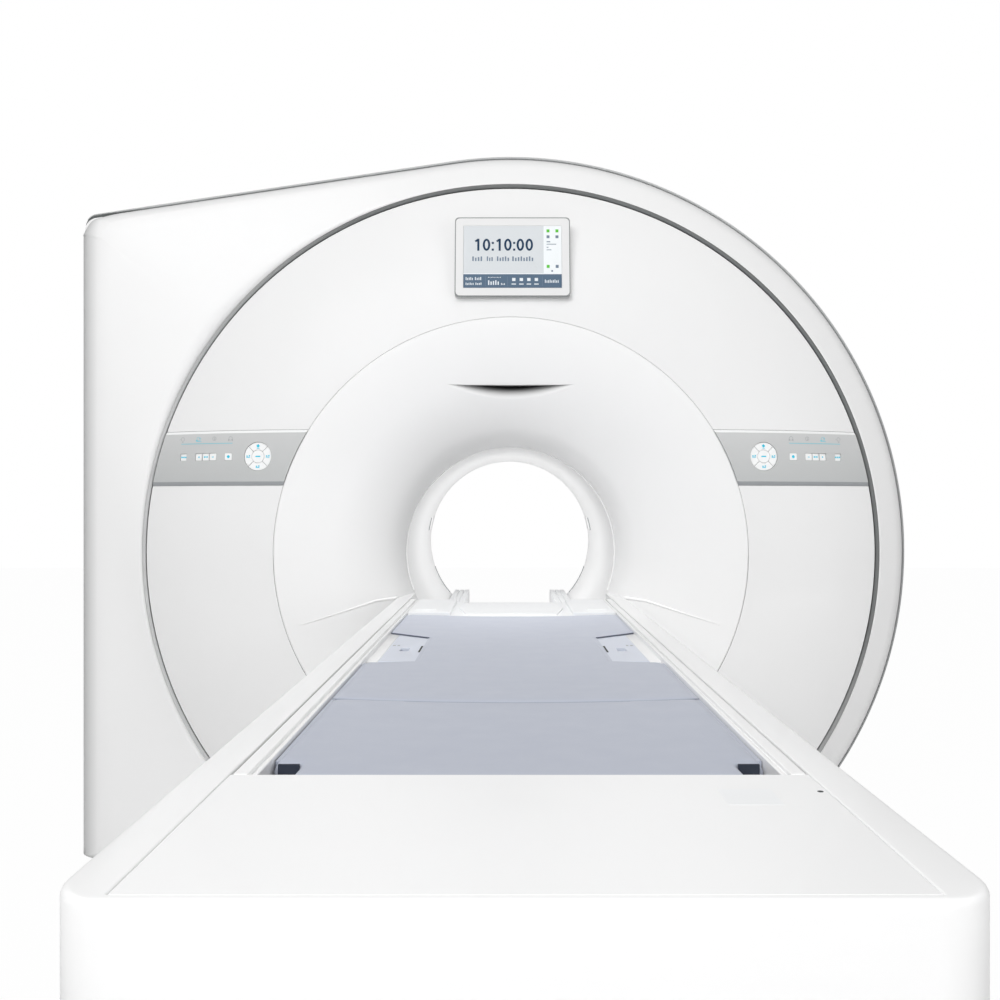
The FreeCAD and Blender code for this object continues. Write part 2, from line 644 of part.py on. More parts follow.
DOME_RISE = "(seam_depth - trim_depth)"
DOME_RUN = "(trim_radius - seam_radius)"
DOME_CHORD = f"sqrt({DOME_RISE} ^ 2 + {DOME_RUN} ^ 2)"
DOME_REACH = f"sqrt(dome_radius ^ 2 - ({DOME_CHORD} / 2) ^ 2)"
DOME_Y = f"(-(seam_depth + trim_depth) / 2 + {DOME_REACH} * {DOME_RUN} / {DOME_CHORD})"
DOME_Z = f"((seam_radius + trim_radius) / 2 - {DOME_REACH} * {DOME_RISE} / {DOME_CHORD})"


def dome_at(radius, lift="0"):
    """Where the ring panel's face, lifted off by some amount, lies along the bore at a radius."""
    return f"({DOME_Y} - sqrt((dome_radius + ({lift})) ^ 2 - (({radius}) - {DOME_Z}) ^ 2))"


def dome_points(inner, outer, lift, runs):
    """Points on the domed face from an inner to an outer radius, at the corners of equal straight runs."""
    radii = [f"({inner} + ({outer} - {inner}) * {step} / {runs})" for step in range(runs + 1)]
    return [(dome_at(radius, lift), radius) for radius in radii]


def ring_panel_turned(name):
    """The domed ring panel with a turned-in flange at its outer edge."""
    inner, outer = "(seam_radius + seam_gap / 2)", "(trim_radius - seam_gap)"
    flange = f"({dome_at(outer)} + flange_length)"
    face = dome_points(inner, outer, "0", 2)
    back = dome_points(inner, f"({outer} - cover_wall)", "-cover_wall", 1)
    return turned(name, face + [(flange, outer), (flange, f"{outer} - cover_wall")] + back[::-1])


def make_ring_panels():
    """The ring panel above and below the two control panels. The upper one has the display's opening."""
    everywhere = (("-2 * trim_radius", "2 * trim_radius"), ("-2 * seam_depth", "0"))
    above = block("ring_panel_above", *everywhere, ("iso_height + band_top + seam_gap / 2", "3 * iso_height"))
    below = block("ring_panel_below", *everywhere, ("floor_gap", "iso_height + band_bottom - seam_gap / 2"))
    upper = common("ring_panel_upper_part", [ring_panel_turned("ring_panel_upper_turned"), above])
    opening = display_prism("display_opening", "seam_gap / 2")
    keep("ring_panel_upper", cut("ring_panel_upper", upper, [opening]))
    lower = common("ring_panel_lower", [ring_panel_turned("ring_panel_lower_turned"), below])
    keep("ring_panel_lower", lower)


def make_trim_ring():
    """The bright ring between the two covers."""
    inner, outer = "trim_radius", "(trim_radius + trim_width)"
    face, back = "(-trim_depth)", "(-trim_depth + trim_height)"
    ring = turned("trim_ring_turned", [(face, inner), (face, outer), (back, outer), (back, inner)])
    keep("trim_ring", cut("trim_ring", ring, [below_floor_gap("trim_ring_foot")]))


def bell_points(sign, seam, depth, lip, wall, crest_runs, lip_runs):
    """The bell mouth from its seam to the bore, a wall's thickness under its face.

    Its two tangent arcs, a wide one at the crest and a narrow one at the lip, are followed in straight runs.
    """
    run, rise = f"({seam} - bore_radius - {lip})", f"({depth} - bore_half)"
    crest = f"(({run} ^ 2 + {rise} ^ 2 - {lip} ^ 2) / (2 * ({rise} - {lip})))"
    turn = f"(asin({run} / ({crest} - {lip})) / 1 deg)"
    points = []
    for step in range(crest_runs + 1):
        angle = f"({turn} * {step} / {crest_runs})"
        points.append((f"{sign} * ({depth} - {crest} + ({crest} - {wall}) * cos({angle}))",
                       f"{seam} - ({crest} - {wall}) * sin({angle})"))
    for step in range(1, lip_runs + 1):
        angle = f"({turn} + (90 - {turn}) * {step} / {lip_runs})"
        points.append((f"{sign} * (bore_half + ({lip} - {wall}) * cos({angle}))",
                       f"bore_radius + {lip} - ({lip} - {wall}) * sin({angle})"))
    return points


def make_funnel_bezel():
    """The flared mouth of the bore, with the air vent's scoop and the recess that the table stands in."""
    seam, depth = "(seam_radius - seam_gap / 2)", "seam_depth"
    face = bell_points(-1, seam, depth, "lip_round", "0", 3, 3)
    under = bell_points(-1, seam, depth, "lip_round", "cover_wall", 1, 1)
    shell = turned("funnel_shell", face + under[::-1])
    solid = turned("funnel_solid", face + [("-bore_half", seam)])
    table_liner = common("table_recess_liner", [table_recess("table_recess_outside", "cover_wall"), solid])
    vent_liner = common("vent_liner", [vent_scoop("vent_outside", "cover_wall"), solid])
    whole = fuse("funnel_whole", [shell, table_liner, vent_liner])
    scoops = [table_recess("table_recess", "0"), vent_scoop("vent", "0")]
    keep("funnel_bezel", cut("funnel_bezel", whole, scoops))


def table_recess(name, grow):
    """The upright recess for the table: flared beside the rims, and a plain slot below."""
    front = "(-seam_depth - 2 * lip_round)"
    side = [(f"({half} + ({grow}))", f"(-{depth} + ({grow}))") for half, depth in (
        ("recess_back_half", "recess_back"), ("recess_heel_half", "recess_heel_depth"),
        ("recess_cheek_half", "recess_cheek_depth"), ("recess_mouth_half", "recess_mouth_depth"))]
    side.append((side[-1][0], front))
    height = f"recess_flare_drop - recess_top_drop + 2 * ({grow})"
    flare = prism(f"{name}_flare", "XY_Plane", side[::-1] + [(f"-{x}", y) for x, y in side], height,
                  depth=f"iso_height - recess_flare_drop - ({grow})")
    half = f"(recess_slot_half + ({grow}))"
    slot = block(f"{name}_slot", (f"-{half}", half), (front, f"-recess_back + ({grow})"),
                 (f"recess_floor - ({grow})", "iso_height - recess_flare_drop"))
    return fuse(name, [flare, slot])


def vent_scoop(name, grow):
    """The vent's cutter: an upright round under a straight edge, which fades out at its sides and foot."""
    return rod(name, f"vent_round + ({grow})", f"vent_height + ({grow})", y="-vent_depth - vent_round",
               z=f"iso_height + vent_top - vent_height")


# ---------------------------------------------------------------- control panels and keys

def band_share(share):
    """How far out a share of the way from the seam to the bright ring is, in the key row."""
    seam, ring = "sqrt(seam_radius ^ 2 - key_row ^ 2)", "sqrt(trim_radius ^ 2 - key_row ^ 2)"
    return value(f"{seam} + ({ring} - {seam}) * {share}")


def on_band(x, z):
    """The place on the control panel's face at x and z, with local +Z out of it and local +X level."""
    radius = math.hypot(x, z)
    corners = [(value(y), value(r)) for y, r in band_face()]
    (y0, r0), (y1, r1) = [pair for pair in zip(corners, corners[1:]) if pair[0][1] <= radius <= pair[1][1]][0]
    slope = (y1 - y0) / (r1 - r0)
    normal = Vector(slope * x / radius, -1, slope * z / radius).normalize()
    level = Vector(0, 0, 1).cross(normal).normalize()
    point = Vector(x, y0 + slope * (radius - r0), value("iso_height") + z)
    return Placement(point, Rotation(level, normal.cross(level), normal, "ZXY"))


def key_body(name, loop):
    """A key whose face is proud of local Z = 0."""
    return prism(name, "XY_Plane", loop, "key_thickness", depth="key_proud - key_thickness")


def sector_loop():
    """A quarter of the round pad, to the right of its middle."""
    loop = []
    for radius, turn, runs in (("dial_radius", 1, 5), ("(dial_core_radius + dial_gap)", -1, 3)):
        half_angle = f"(45 - asin(dial_gap / 2 / {radius}) / 1 deg)"
        loop += arc_points(radius, f"-{turn} * {half_angle}", f"{turn} * {half_angle}", runs)
    return loop


def core_loop():
    """The round pad's middle key."""
    return arc_points("dial_core_radius", "0", "360", 20)[:-1]


def panel_keys(side):
    """Each key of one control panel: its name, its place, its turn in that place and its outline."""
    sign = SIDES[side]
    row = value("key_row")
    square = cut_corner_rectangle("key_width / 2", "key_height / 2", "key_corner")
    places = {"outer": band_share("key_outer_share"), "inner": band_share("key_inner_share")}
    for step, word in ((-1, "low"), (0, "mid"), (1, "high")):
        places[f"rocker_{word}"] = band_share("rocker_share") + step * value("rocker_pitch")
    for word, x in places.items():
        yield f"key_{word}_{side}", on_band(sign * x, row), 0, square
    dial = on_band(sign * band_share("dial_share"), row)
    for turn, word in ((0, "right"), (90, "up"), (180, "left"), (270, "down")):
        yield f"dial_{word}_{side}", dial, turn, sector_loop()
    yield f"dial_core_{side}", dial, 0, core_loop()


def band_face():
    """The corners of the control panels' face, from the funnel's seam outwards."""
    return dome_points("(seam_radius + seam_gap / 2)", "(trim_radius - seam_gap)", "band_proud", 2)


def band_turned(name):
    """The control panels' section, turned about the bore's axis."""
    back = [(dome_at(radius, "(band_proud - band_thickness)"), radius)
            for radius in ("(trim_radius - seam_gap)", "(seam_radius + seam_gap / 2)")]
    return turned(name, band_face() + back)


def key_cutter(name, place, loop_kind):
    """The well that one key, or the whole round pad, moves in."""
    depth = "(key_thickness - key_proud + key_travel + fit_gap)"
    if loop_kind == "dial":
        tool = doc.addObject("Part::Cylinder", name)
        hold(tool, "Radius", "dial_radius + key_gap")
        hold(tool, "Height", f"{depth} + band_thickness")
        shift = Vector(0, 0, -value(depth))
    else:
        tool = doc.addObject("Part::Box", name)
        hold(tool, "Length", "key_width + 2 * key_gap")
        hold(tool, "Width", "key_height + 2 * key_gap")
        hold(tool, "Height", f"{depth} + band_thickness")
        shift = Vector(-value("key_width / 2 + key_gap"), -value("key_height / 2 + key_gap"), -value(depth))
    tool.Placement = place.multiply(Placement(shift, Rotation()))
    return tool


def make_control_panel(side):
    """One control panel across the ring panel, with wells for its ten keys, and the keys."""
    sign = SIDES[side]
    name = f"control_panel_{side}"
    reach = ("0", "2 * trim_radius") if sign > 0 else ("-2 * trim_radius", "0")
    band = block(f"{name}_span", reach, ("-2 * seam_depth", "0"),
                 ("iso_height + band_bottom + seam_gap / 2", "iso_height + band_top - seam_gap / 2"))
    plate = common(f"{name}_plate", [band_turned(f"{name}_turned"), band])
    tools = []
    for key, place, turn, loop in panel_keys(side):
        body = key_body(key, loop)
        body.Placement = place.multiply(Placement(Vector(), Rotation(Vector(0, 0, 1), turn)))
        keep(key, body)
        if not key.startswith("dial"):
            tools.append(key_cutter(f"{key}_well", place, "square"))
        elif key.startswith("dial_core"):
            tools.append(key_cutter(f"{key}_well", place, "dial"))
    keep(name, cut(name, plate, tools))


# ---------------------------------------------------------------- display

def display_placement():
    """The display's own frame: X to the right, Y up its face, Z out of it, from the lower edge's middle."""
    foot = value("iso_height + seam_radius + (trim_radius - seam_radius) * display_share")
    base = Vector(value("display_centre_x"), -value("seam_depth + display_lead"), foot)
    return Placement(base, Rotation(Vector(1, 0, 0), 90 - value("display_tilt")))


def display_prism(name, grow):
    """The display housing's block, grown all round."""
    outline = rounded_rectangle(f"display_width / 2 + ({grow})", f"display_height / 2 + ({grow})",
                                f"display_corner + ({grow})", centre_y="display_height / 2")
    body = prism(name, "XY_Plane", outline, f"display_thickness + 2 * ({grow})",
                 depth=f"-display_thickness - ({grow})")
    body.Placement = display_placement()
    return body


def make_display():
    """The tilted display housing and the screen glass let into its face."""
    housing = display_prism("display_housing", "0")
    window = new_sketch(housing, "display_window", "XY_Plane")
    draw_loop(window, rounded_rectangle("screen_width / 2 + fit_gap", "screen_height / 2 + fit_gap",
                                        "key_corner", centre_y="display_height / 2"))
    pocket(housing, window, "screen_thickness + screen_sunk")
    keep("display_housing", housing)
    screen = prism("display_screen", "XY_Plane", rounded_rectangle(
        "screen_width / 2", "screen_height / 2", "key_corner", centre_y="display_height / 2"),
        "screen_thickness", depth="-screen_thickness - screen_sunk")
    screen.Placement = display_placement()
    keep("display_screen", screen)


# ---------------------------------------------------------------- bore, coils and magnet

def make_bore_tube():
    """The liner that the patient sees, with notches at its rear edge."""
    tube = turned("bore_tube_turned", [
        ("-bore_half + seam_gap", "bore_radius"),
        ("bore_half - seam_gap", "bore_radius"),
        ("bore_half - seam_gap", "bore_radius + cover_wall"),
        ("-bore_half + seam_gap", "bore_radius + cover_wall"),
    ][::-1])
    notches = []
    for side, (low, high) in ((LEFT, ("-2 * bore_radius", "0")), (RIGHT, ("0", "2 * bore_radius"))):
        notches.append(block(f"bore_notch_{side}", (low, high), ("bore_half - notch_depth", "bore_half"),
                             ("iso_height + notch_low", "iso_height + notch_high")))
    keep("bore_tube", cut("bore_tube", tube, notches))


def make_body_coil():
    """The radio coil: a former with rungs, which seat in the gradient coil."""
    seat = "(warm_bore - fit_gap - gradient_wall - fit_gap)"
    inner, outer = "coil_former_radius", "(coil_former_radius + coil_former_wall)"
    body = turned("body_coil", [("-coil_half", inner), ("coil_half", inner), ("coil_half", outer),
                                ("-coil_half", outer)])
    sketch = new_sketch(body, "rung_outline", "XZ_Plane", "coil_half - coil_end")
    corner = f"sqrt({seat} ^ 2 - (rung_width / 2) ^ 2)"
    draw_loop(sketch, rectangle("-rung_width / 2", "rung_width / 2", f"{outer} - coil_former_wall / 2",
                                corner))
    rung = pad(body, sketch, "2 * (coil_half - coil_end)", reverse=True)
    doc.recompute()
    pattern = body.newObject("PartDesign::PolarPattern", "rungs")
    pattern.Originals = [rung]
    pattern.Axis = ([o for o in body.Origin.OriginFeatures if o.Role == "Y_Axis"][0], [""])
    pattern.Angle = 360
    hold(pattern, "Occurrences", "rung_count")
    body.Tip = pattern
    keep("body_coil", body)


def make_gradient_coil():
    """A thick moulded cylinder that fills the space between the radio coil and the magnet."""
    outer = "(warm_bore - fit_gap)"
    inner = f"({outer} - gradient_wall)"
    keep("gradient_coil", turned("gradient_coil", [("-gradient_half", inner), ("gradient_half", inner),
                                                   ("gradient_half", outer), ("-gradient_half", outer)]))


def make_magnet():
    """The magnet's vessel with its service turret, and the cold head's housing on the turret."""
    vessel = turned("vessel_turned", [("-vessel_half", "warm_bore"), ("vessel_half", "warm_bore"),
                                      ("vessel_half", VESSEL_RADIUS), ("-vessel_half", VESSEL_RADIUS)])
    root = f"({VESSEL_RADIUS} * 0.6)"
    turret = rod("turret", "turret_radius", f"{TURRET_TOP} - {root}", x="-turret_x", z=f"iso_height + {root}")
    keep("magnet_vessel", fuse("magnet_vessel", [vessel, turret]))
    far = "(turret_x + cold_head_radius)"
    roof = f"(({EDGE_RADIUS} - cover_wall - {far} * sin(roof_slope)) / cos(roof_slope))"
    keep("cold_head", prism("cold_head", "XY_Plane", eight_sided("cold_head_radius"),
                            f"{roof} - cold_head_headroom - {TURRET_TOP}", depth=f"iso_height + {TURRET_TOP}",
                            place=("-turret_x", "0", "0")))


def make_magnet_foot(side):
    """A floor plate with two bolt holes, and the saddle that carries the vessel."""
    name = f"magnet_foot_{side}"
    centre = f"({SIDES[side]} * foot_x)"
    plate = block(f"{name}_plate", (f"{centre} - foot_plate_half", f"{centre} + foot_plate_half"),
                  ("-foot_plate_length / 2", "foot_plate_length / 2"), ("0", "foot_plate_height"))
    web = block(f"{name}_web", (f"{centre} - foot_web_half", f"{centre} + foot_web_half"),
                ("-foot_web_length / 2", "foot_web_length / 2"), ("foot_plate_height", "iso_height / 2"))
    vessel = cross_rod(f"{name}_seat", f"{VESSEL_RADIUS} + fit_gap", "-foot_web_length", "foot_web_length")
    holes = [rod(f"{name}_hole_{end}", "floor_bolt_radius", "foot_plate_height", x=centre,
                 y=f"{sign} * floor_bolt_y") for end, sign in (("front", -1), ("rear", 1))]
    keep(name, cut(name, fuse(f"{name}_whole", [plate, web]), [vessel] + holes))


def eight_sided(radius):
    """An eight-sided loop with its corners on a circle and flats above and beside it."""
    return [(f"({radius}) * cos({22.5 + 45 * n})", f"({radius}) * sin({22.5 + 45 * n})") for n in range(8)]


def make_cover_frame():
    """The welded frame that carries the front covers, on four arms from the vessel."""
    outer = "(trim_radius - seam_gap - cover_wall - fit_gap)"
    inner = f"({outer} - frame_bar)"
    front = "(trim_depth - frame_bar / 2)"
    ring = prism("cover_frame_ring", "XZ_Plane", eight_sided(outer), "frame_bar", depth=front, reverse=True,
                 holes=[eight_sided(inner)], place=("0", "0", "iso_height"))
    arms = []
    for number, angle in enumerate((22.5, 67.5, 112.5, 157.5, 202.5, 337.5)):
        arm = block(f"cover_arm_{number}", (f"{VESSEL_RADIUS} * 0.95", f"{inner} + frame_bar / 2"),
                    (f"-{front}", "-vessel_half + frame_bar"),
                    ("-frame_bar / 2", "frame_bar / 2"))
        turned_arm = doc.addObject("Part::Feature", f"cover_arm_{number}_turned")
        doc.recompute()
        turned_arm.Shape = arm.Shape
        turn = Placement(Vector(0, 0, value("iso_height")), Rotation(Vector(0, 1, 0), -angle))
        turned_arm.Placement = turn.multiply(arm.Placement)
        arms.append(turned_arm)
    seat = cross_rod("cover_frame_seat", f"{VESSEL_RADIUS} + fit_gap", "-vessel_half - fit_gap", "0")
    keep("cover_frame", cut("cover_frame", fuse("cover_frame_whole", [ring] + arms),
                            [below_floor_gap("cover_frame_foot"), seat]))


def make_bore_rail(side):
    """A grooved rail for the cradle, laid on the bore's floor."""
    sign = SIDES[side]
    seat = "(bore_radius - fit_gap)"
    top, groove = "(-rail_drop)", "rail_groove"
    third = "((rail_outer - rail_inner) / 3)"
    points = [("rail_inner", f"-sqrt({seat} ^ 2 - rail_inner ^ 2)"), ("rail_inner", top)]
    for step in (1, 2):
        edge = f"(rail_inner + {step} * {third})"
        points += [(f"{edge} - {groove} / 2", top), (f"{edge} - {groove} / 2", f"{top} - {groove}"),
                   (f"{edge} + {groove} / 2", f"{top} - {groove}"), (f"{edge} + {groove} / 2", top)]
    points += [("rail_outer", top), ("rail_outer", f"-sqrt({seat} ^ 2 - rail_outer ^ 2)")]
    loop = [(f"{sign} * ({x})", z) for x, z in points]
    (first_x, first_z), rest = loop[0], loop[1:]
    turn = RIGHT if sign > 0 else LEFT
    name = f"bore_rail_{side}"
    keep(name, prism(name, "XZ_Plane", [(first_x, first_z, seat, turn)] + rest,
                     "bore_rail_front + bore_rail_rear", depth="bore_rail_front", reverse=True,
                     place=("0", "0", "iso_height")))


# ---------------------------------------------------------------- patient table

TOP = "(-table_drop)"
FRAME_TOP = "(-rail_drop - rail_step)"
SOLE = "(-table_drop - table_depth)"
SOLE_TOP = f"({SOLE} + table_sole)"


def mirrored(half):
    """A closed loop from its right half, listed anticlockwise from the bottom middle to the top middle."""
    left = [(f"-({x})", z) for x, z in reversed(half)]
    return half + left


def make_table_shell():
    """The moulded table body with its two rims, open above for the cradle and closed below."""
    section = [
        ("table_sole_half", SOLE),
        ("table_half", f"{TOP} - table_side"),
        ("table_half", f"{TOP} - table_edge_round"),
        ("table_half - table_edge_round", TOP, "table_edge_round", LEFT),
        ("-table_half + table_edge_round", TOP),
        ("-table_half", f"{TOP} - table_edge_round", "table_edge_round", LEFT),
        ("-table_half", f"{TOP} - table_side"),
        ("-table_sole_half", SOLE),
    ]
    length = "table_foot - table_head"
    body = prism("table_section", "XZ_Plane", section, length, depth="table_head",
                 place=("0", "0", "iso_height"))
    plan = prism("table_plan", "XY_Plane", [
        ("table_half", "-table_foot + table_foot_round", "table_foot_round", LEFT),
        ("table_half", "-rim_taper_start"),
        ("tray_half + 2 * cover_wall", "-table_head", "rim_taper_radius", LEFT),
        ("-tray_half - 2 * cover_wall", "-table_head"),
        ("-table_half", "-rim_taper_start", "rim_taper_radius", LEFT),
        ("-table_half", "-table_foot + table_foot_round"),
        ("-table_half + table_foot_round", "-table_foot", "table_foot_round", LEFT),
        ("table_half - table_foot_round", "-table_foot"),
    ], "2 * table_depth", depth="iso_height - table_drop - 2 * table_depth")
    inside_foot = "-table_foot + table_wall"
    trough = block("table_trough", ("-tray_half", "tray_half"), (inside_foot, "0"),
                   (f"iso_height + {FRAME_TOP}", "2 * iso_height"))
    hollow = block("table_hollow", ("-frame_half - frame_gap", "frame_half + frame_gap"),
                   (inside_foot, "-table_head - table_wall"),
                   (f"iso_height + {SOLE_TOP}", f"iso_height + {FRAME_TOP} + table_sole"))
    keep("table_shell", cut("table_shell", common("table_outside", [body, plan]), [trough, hollow]))


def make_table_frame():
    """An extruded frame with three chambers, and the rails that the cradle runs on."""
    loop = mirrored([
        ("frame_half", SOLE_TOP), ("frame_half", FRAME_TOP), ("rail_outer", FRAME_TOP),
        ("rail_outer", "-rail_drop"), ("rail_inner", "-rail_drop"), ("rail_inner", FRAME_TOP)])
    low, high = f"{SOLE_TOP} + frame_wall", f"{FRAME_TOP} - frame_wall"
    third = "((2 * frame_half - 4 * frame_wall) / 3)"
    chambers = []
    for number in range(3):
        left = f"(-frame_half + frame_wall + {number} * ({third} + frame_wall))"
        chambers.append(rectangle(left, f"{left} + {third}", low, high))
    keep("table_frame", prism("table_frame", "XZ_Plane", loop,
                              "table_foot - table_head - 2 * table_wall - 2 * frame_gap",
                              depth="table_head + table_wall + frame_gap", holes=chambers,
                              place=("0", "0", "iso_height")))


def make_foot_cover():
    """The lid over the foot end, flush with the rims: a top, two skirts, and end walls clear of the rails."""
    half = "(tray_half - foot_cover_gap)"
    back, front = "(-table_foot + table_wall + foot_cover_gap)", "(-cradle_foot - foot_cover_gap * 3)"
    top, floor = f"(iso_height + {TOP})", f"(iso_height + {FRAME_TOP})"
    lid = block("foot_cover_block", (f"-{half}", half), (back, front), (floor, top))
    inside = block("foot_cover_inside", (f"-{half} + foot_cover_wall", f"{half} - foot_cover_wall"),
                   (f"{back} + foot_cover_wall", f"{front} - foot_cover_wall"),
                   (f"{floor} - rail_step", f"{top} - foot_cover_wall"))
    reach = "(rail_outer + foot_cover_gap)"
    rails = block("foot_cover_rails", (f"-{reach}", reach),
                  (f"{back} - foot_cover_wall", f"{front} + foot_cover_wall"),
                  (f"{floor} - rail_step", "iso_height - rail_drop + foot_cover_gap"))
    keep("foot_cover", cut("foot_cover", lid, [inside, rails]))


def make_cradle():
    """The sliding couch top: a boat-shaped hull with a deck, grooved edges and a strip by each socket."""
    sole = "(-rail_drop + runner_gap)"
    ledge = f"({TOP} - ledge_drop)"
    edge = [
        ("cradle_half", f"{TOP} - cradle_skirt", "cradle_belly", LEFT),
        ("cradle_half", TOP), ("groove_outer", TOP), ("groove_outer", f"{TOP} - groove_depth"),
        ("groove_inner", f"{TOP} - groove_depth"), ("groove_inner", ledge), ("deck_half", ledge),
        ("deck_half", "-deck_drop")]
    other = [(f"-({point[0]})", point[1]) for point in reversed(edge)]
    loop = [("cradle_sole_half", sole)] + edge + other
    loop.append(("-cradle_sole_half", sole, "cradle_belly", LEFT))
    hull = prism("cradle_hull", "XZ_Plane", loop, "cradle_foot - cradle_head", depth="cradle_head",
                 place=("0", "0", "iso_height"))
    inner, outer = "(socket_outer + fit_gap)", "(deck_half + ledge_drop)"
    ends = [(inner, "-socket_near"), (outer, "-socket_near"), (outer, socket_far_end(outer)),
            (inner, socket_far_end(inner))]
    strips = [prism(f"cradle_strip_{side}", "XY_Plane", [(f"{sign} * {x}", y) for x, y in ends],
                    "socket_plate", depth="iso_height - deck_drop") for side, sign in SIDES.items()]
    keep("cradle", fuse("cradle", [hull] + strips))


def make_head_plate():
    """The plate at the cradle's head end, with a sunken bay, a six-sided panel and two raised bars."""
    top, deck = f"(iso_height + {TOP} - ledge_drop)", "(iso_height - deck_drop)"
    half = "(deck_half - foot_cover_gap)"
    far, near = "(-cradle_head - foot_cover_gap)", "(-head_plate_end)"
    plate = block("head_plate_block", (f"-{half}", half), (near, far), (deck, top))
    bay = block("head_plate_bay", ("-head_bay_half", "head_bay_half"), (f"{near} - 10", f"{far} + 10"),
                (f"{top} - head_bay_depth", f"{top} + 10"))
    middle = "(-(head_hex_far + head_hex_near) / 2)"
    panel = prism("head_plate_panel", "XY_Plane", [
        ("head_hex_end_half", "-head_hex_near"), ("head_hex_half", middle),
        ("head_hex_end_half", "-head_hex_far"), ("-head_hex_end_half", "-head_hex_far"),
        ("-head_hex_half", middle), ("-head_hex_end_half", "-head_hex_near"),
    ], "head_hex_height", depth=f"{top} - head_bay_depth")
    bars = []
    for side, sign in SIDES.items():
        inner, outer = f"{sign} * head_bar_inner", f"{sign} * head_bar_outer"
        ends = (inner, outer) if sign > 0 else (outer, inner)
        bars.append(block(f"head_plate_bar_{side}", ends, ("-head_bar_y - head_bar_length", "-head_bar_y"),
                          (top, f"{top} + head_bar_height")))
    keep("head_plate", fuse("head_plate", [cut("head_plate_base", plate, [bay]), panel] + bars))


def pad_body(name, far, near):
    """A firm mat: a hollowed top, round upper edges and lower sides drawn in over the deck."""
    low, top = "(-deck_drop + pad_gap)", "(-pad_drop)"
    tuck = "(pad_round / 2)"
    body = prism(name, "XZ_Plane", [
        (f"pad_half - {tuck}", low),
        ("pad_half", f"{low} + 2 * {tuck}"),
        ("pad_half", f"{top} - pad_round"),
        ("pad_half - pad_round", top, "pad_round", LEFT),
        ("-pad_half + pad_round", top, "pad_dish", RIGHT),
        ("-pad_half", f"{top} - pad_round", "pad_round", LEFT),
        ("-pad_half", f"{low} + 2 * {tuck}"),
        (f"-pad_half + {tuck}", low),
    ], f"({near}) - ({far})", depth=far, place=("0", "0", "iso_height"))
    ends = (-value(far), -value(near))
    top_level = value(f"{low} + 2 * {tuck}")
    dress(body, "Chamfer", "pad_end_bevel",
          lambda middle, edge: min(abs(middle.y - y) for y in ends) < 1e-6 and abs(middle.x) < 1
          and middle.z > top_level)
    return body


def make_pads():
    """The head pad with a notch over each coil socket, and the foot pad with two cut corners."""
    head = pad_body("pad_head", "pad_head_end", "pad_seam - pad_seam_gap / 2")
    foot = pad_body("pad_foot", "pad_seam + pad_seam_gap / 2", "pad_foot_end")
    beyond = "(pad_half + pad_round)"
    near, inner = "(-pad_foot_end)", "pad_half - corner_cut_wide"
    for side, sign in SIDES.items():
        notch = [(beyond, "-notch_near"), (beyond, "-notch_far"), ("pad_half", "-notch_far"),
                 ("notch_inner", "-notch_far_inner"), ("notch_inner", "-notch_near_inner"),
                 ("pad_half", "-notch_near")]
        corner = [(beyond, f"{near} - pad_round"), (beyond, f"{near} + corner_cut_long"),
                  (inner, f"{near} + corner_cut_long"), (inner, f"{near} - pad_round")]
        for body, loop in ((head, notch), (foot, corner)):
            sketch = new_sketch(body, f"{body.Name}_cut_{side}", "XY_Plane", "-pad_drop + pad_round")
            draw_loop(sketch, [(f"{sign} * ({x})", y) for x, y in loop])
            pocket(body, sketch, "2 * (deck_drop - pad_drop)")
    keep("pad_head", head)
    keep("pad_foot", foot)


def socket_far_end(x):
    """Where the coil socket plate ends at a distance beside the middle, along the pad's slanted notch."""
    slope = "(socket_far_inner - socket_far) / (socket_outer - socket_inner)"
    return f"-socket_far + ({x} - socket_outer) * {slope}"


def make_coil_socket(side):
    """A plate on the deck in the pad's notch, with the recessed socket that a coil's plug goes into."""
    sign = SIDES[side]
    name = f"coil_socket_{side}"
    deck = "(iso_height - deck_drop)"
    inner, outer = "socket_inner", "socket_outer"
    outline = [(inner, "-socket_near"), (outer, "-socket_near"), (outer, socket_far_end(outer)),
               (inner, socket_far_end(inner))]
    plate = prism(f"{name}_plate", "XY_Plane", [(f"{sign} * ({x})", y) for x, y in outline], "socket_plate",
                  depth=deck)
    middle = f"({sign} * (socket_inner + socket_outer) / 2)"
    mouth = block(f"{name}_mouth", (f"{middle} - socket_cut_x / 2", f"{middle} + socket_cut_x / 2"),
                  ("-socket_cut_centre_y - socket_cut_y / 2", "-socket_cut_centre_y + socket_cut_y / 2"),
                  (f"{deck} + socket_plate - socket_cut_depth", f"{deck} + 2 * socket_plate"))
    keep(name, cut(name, plate, [mouth]))


# ---------------------------------------------------------------- pedestal and lift

MIDDLE = "(-(pedestal_front + pedestal_back) / 2)"
TABLE_SOLE = f"(iso_height + {SOLE})"


def make_table_base():
    """The floor plate, with anchor holes, and the tongue and bar that tie it to the magnet's feet."""
    plate = block("base_plate", ("-base_half", "base_half"),
                  ("-pedestal_back - base_margin", "-pedestal_front + base_margin"), ("0", "base_height"))
    foot_front = "(-foot_plate_length / 2 - fit_gap)"
    tongue = block("base_tongue", ("-base_tongue_half", "base_tongue_half"),
                   ("-pedestal_front", f"{foot_front} - base_bar_length / 2"), ("0", "base_height"))
    bar = block("base_bar", ("-foot_x - foot_plate_half", "foot_x + foot_plate_half"),
                (f"{foot_front} - base_bar_length", foot_front), ("0", "base_height"))
    holes = []
    for side, sign in SIDES.items():
        for end, y in (("front", "-pedestal_front + base_margin / 2"),
                       ("back", "-pedestal_back - base_margin / 2")):
            holes.append(rod(f"base_hole_{side}_{end}", "anchor_radius", "base_height",
                             x=f"{sign} * anchor_x", y=y))
    keep("table_base", cut("table_base", fuse("base_whole", [plate, tongue, bar]), holes))


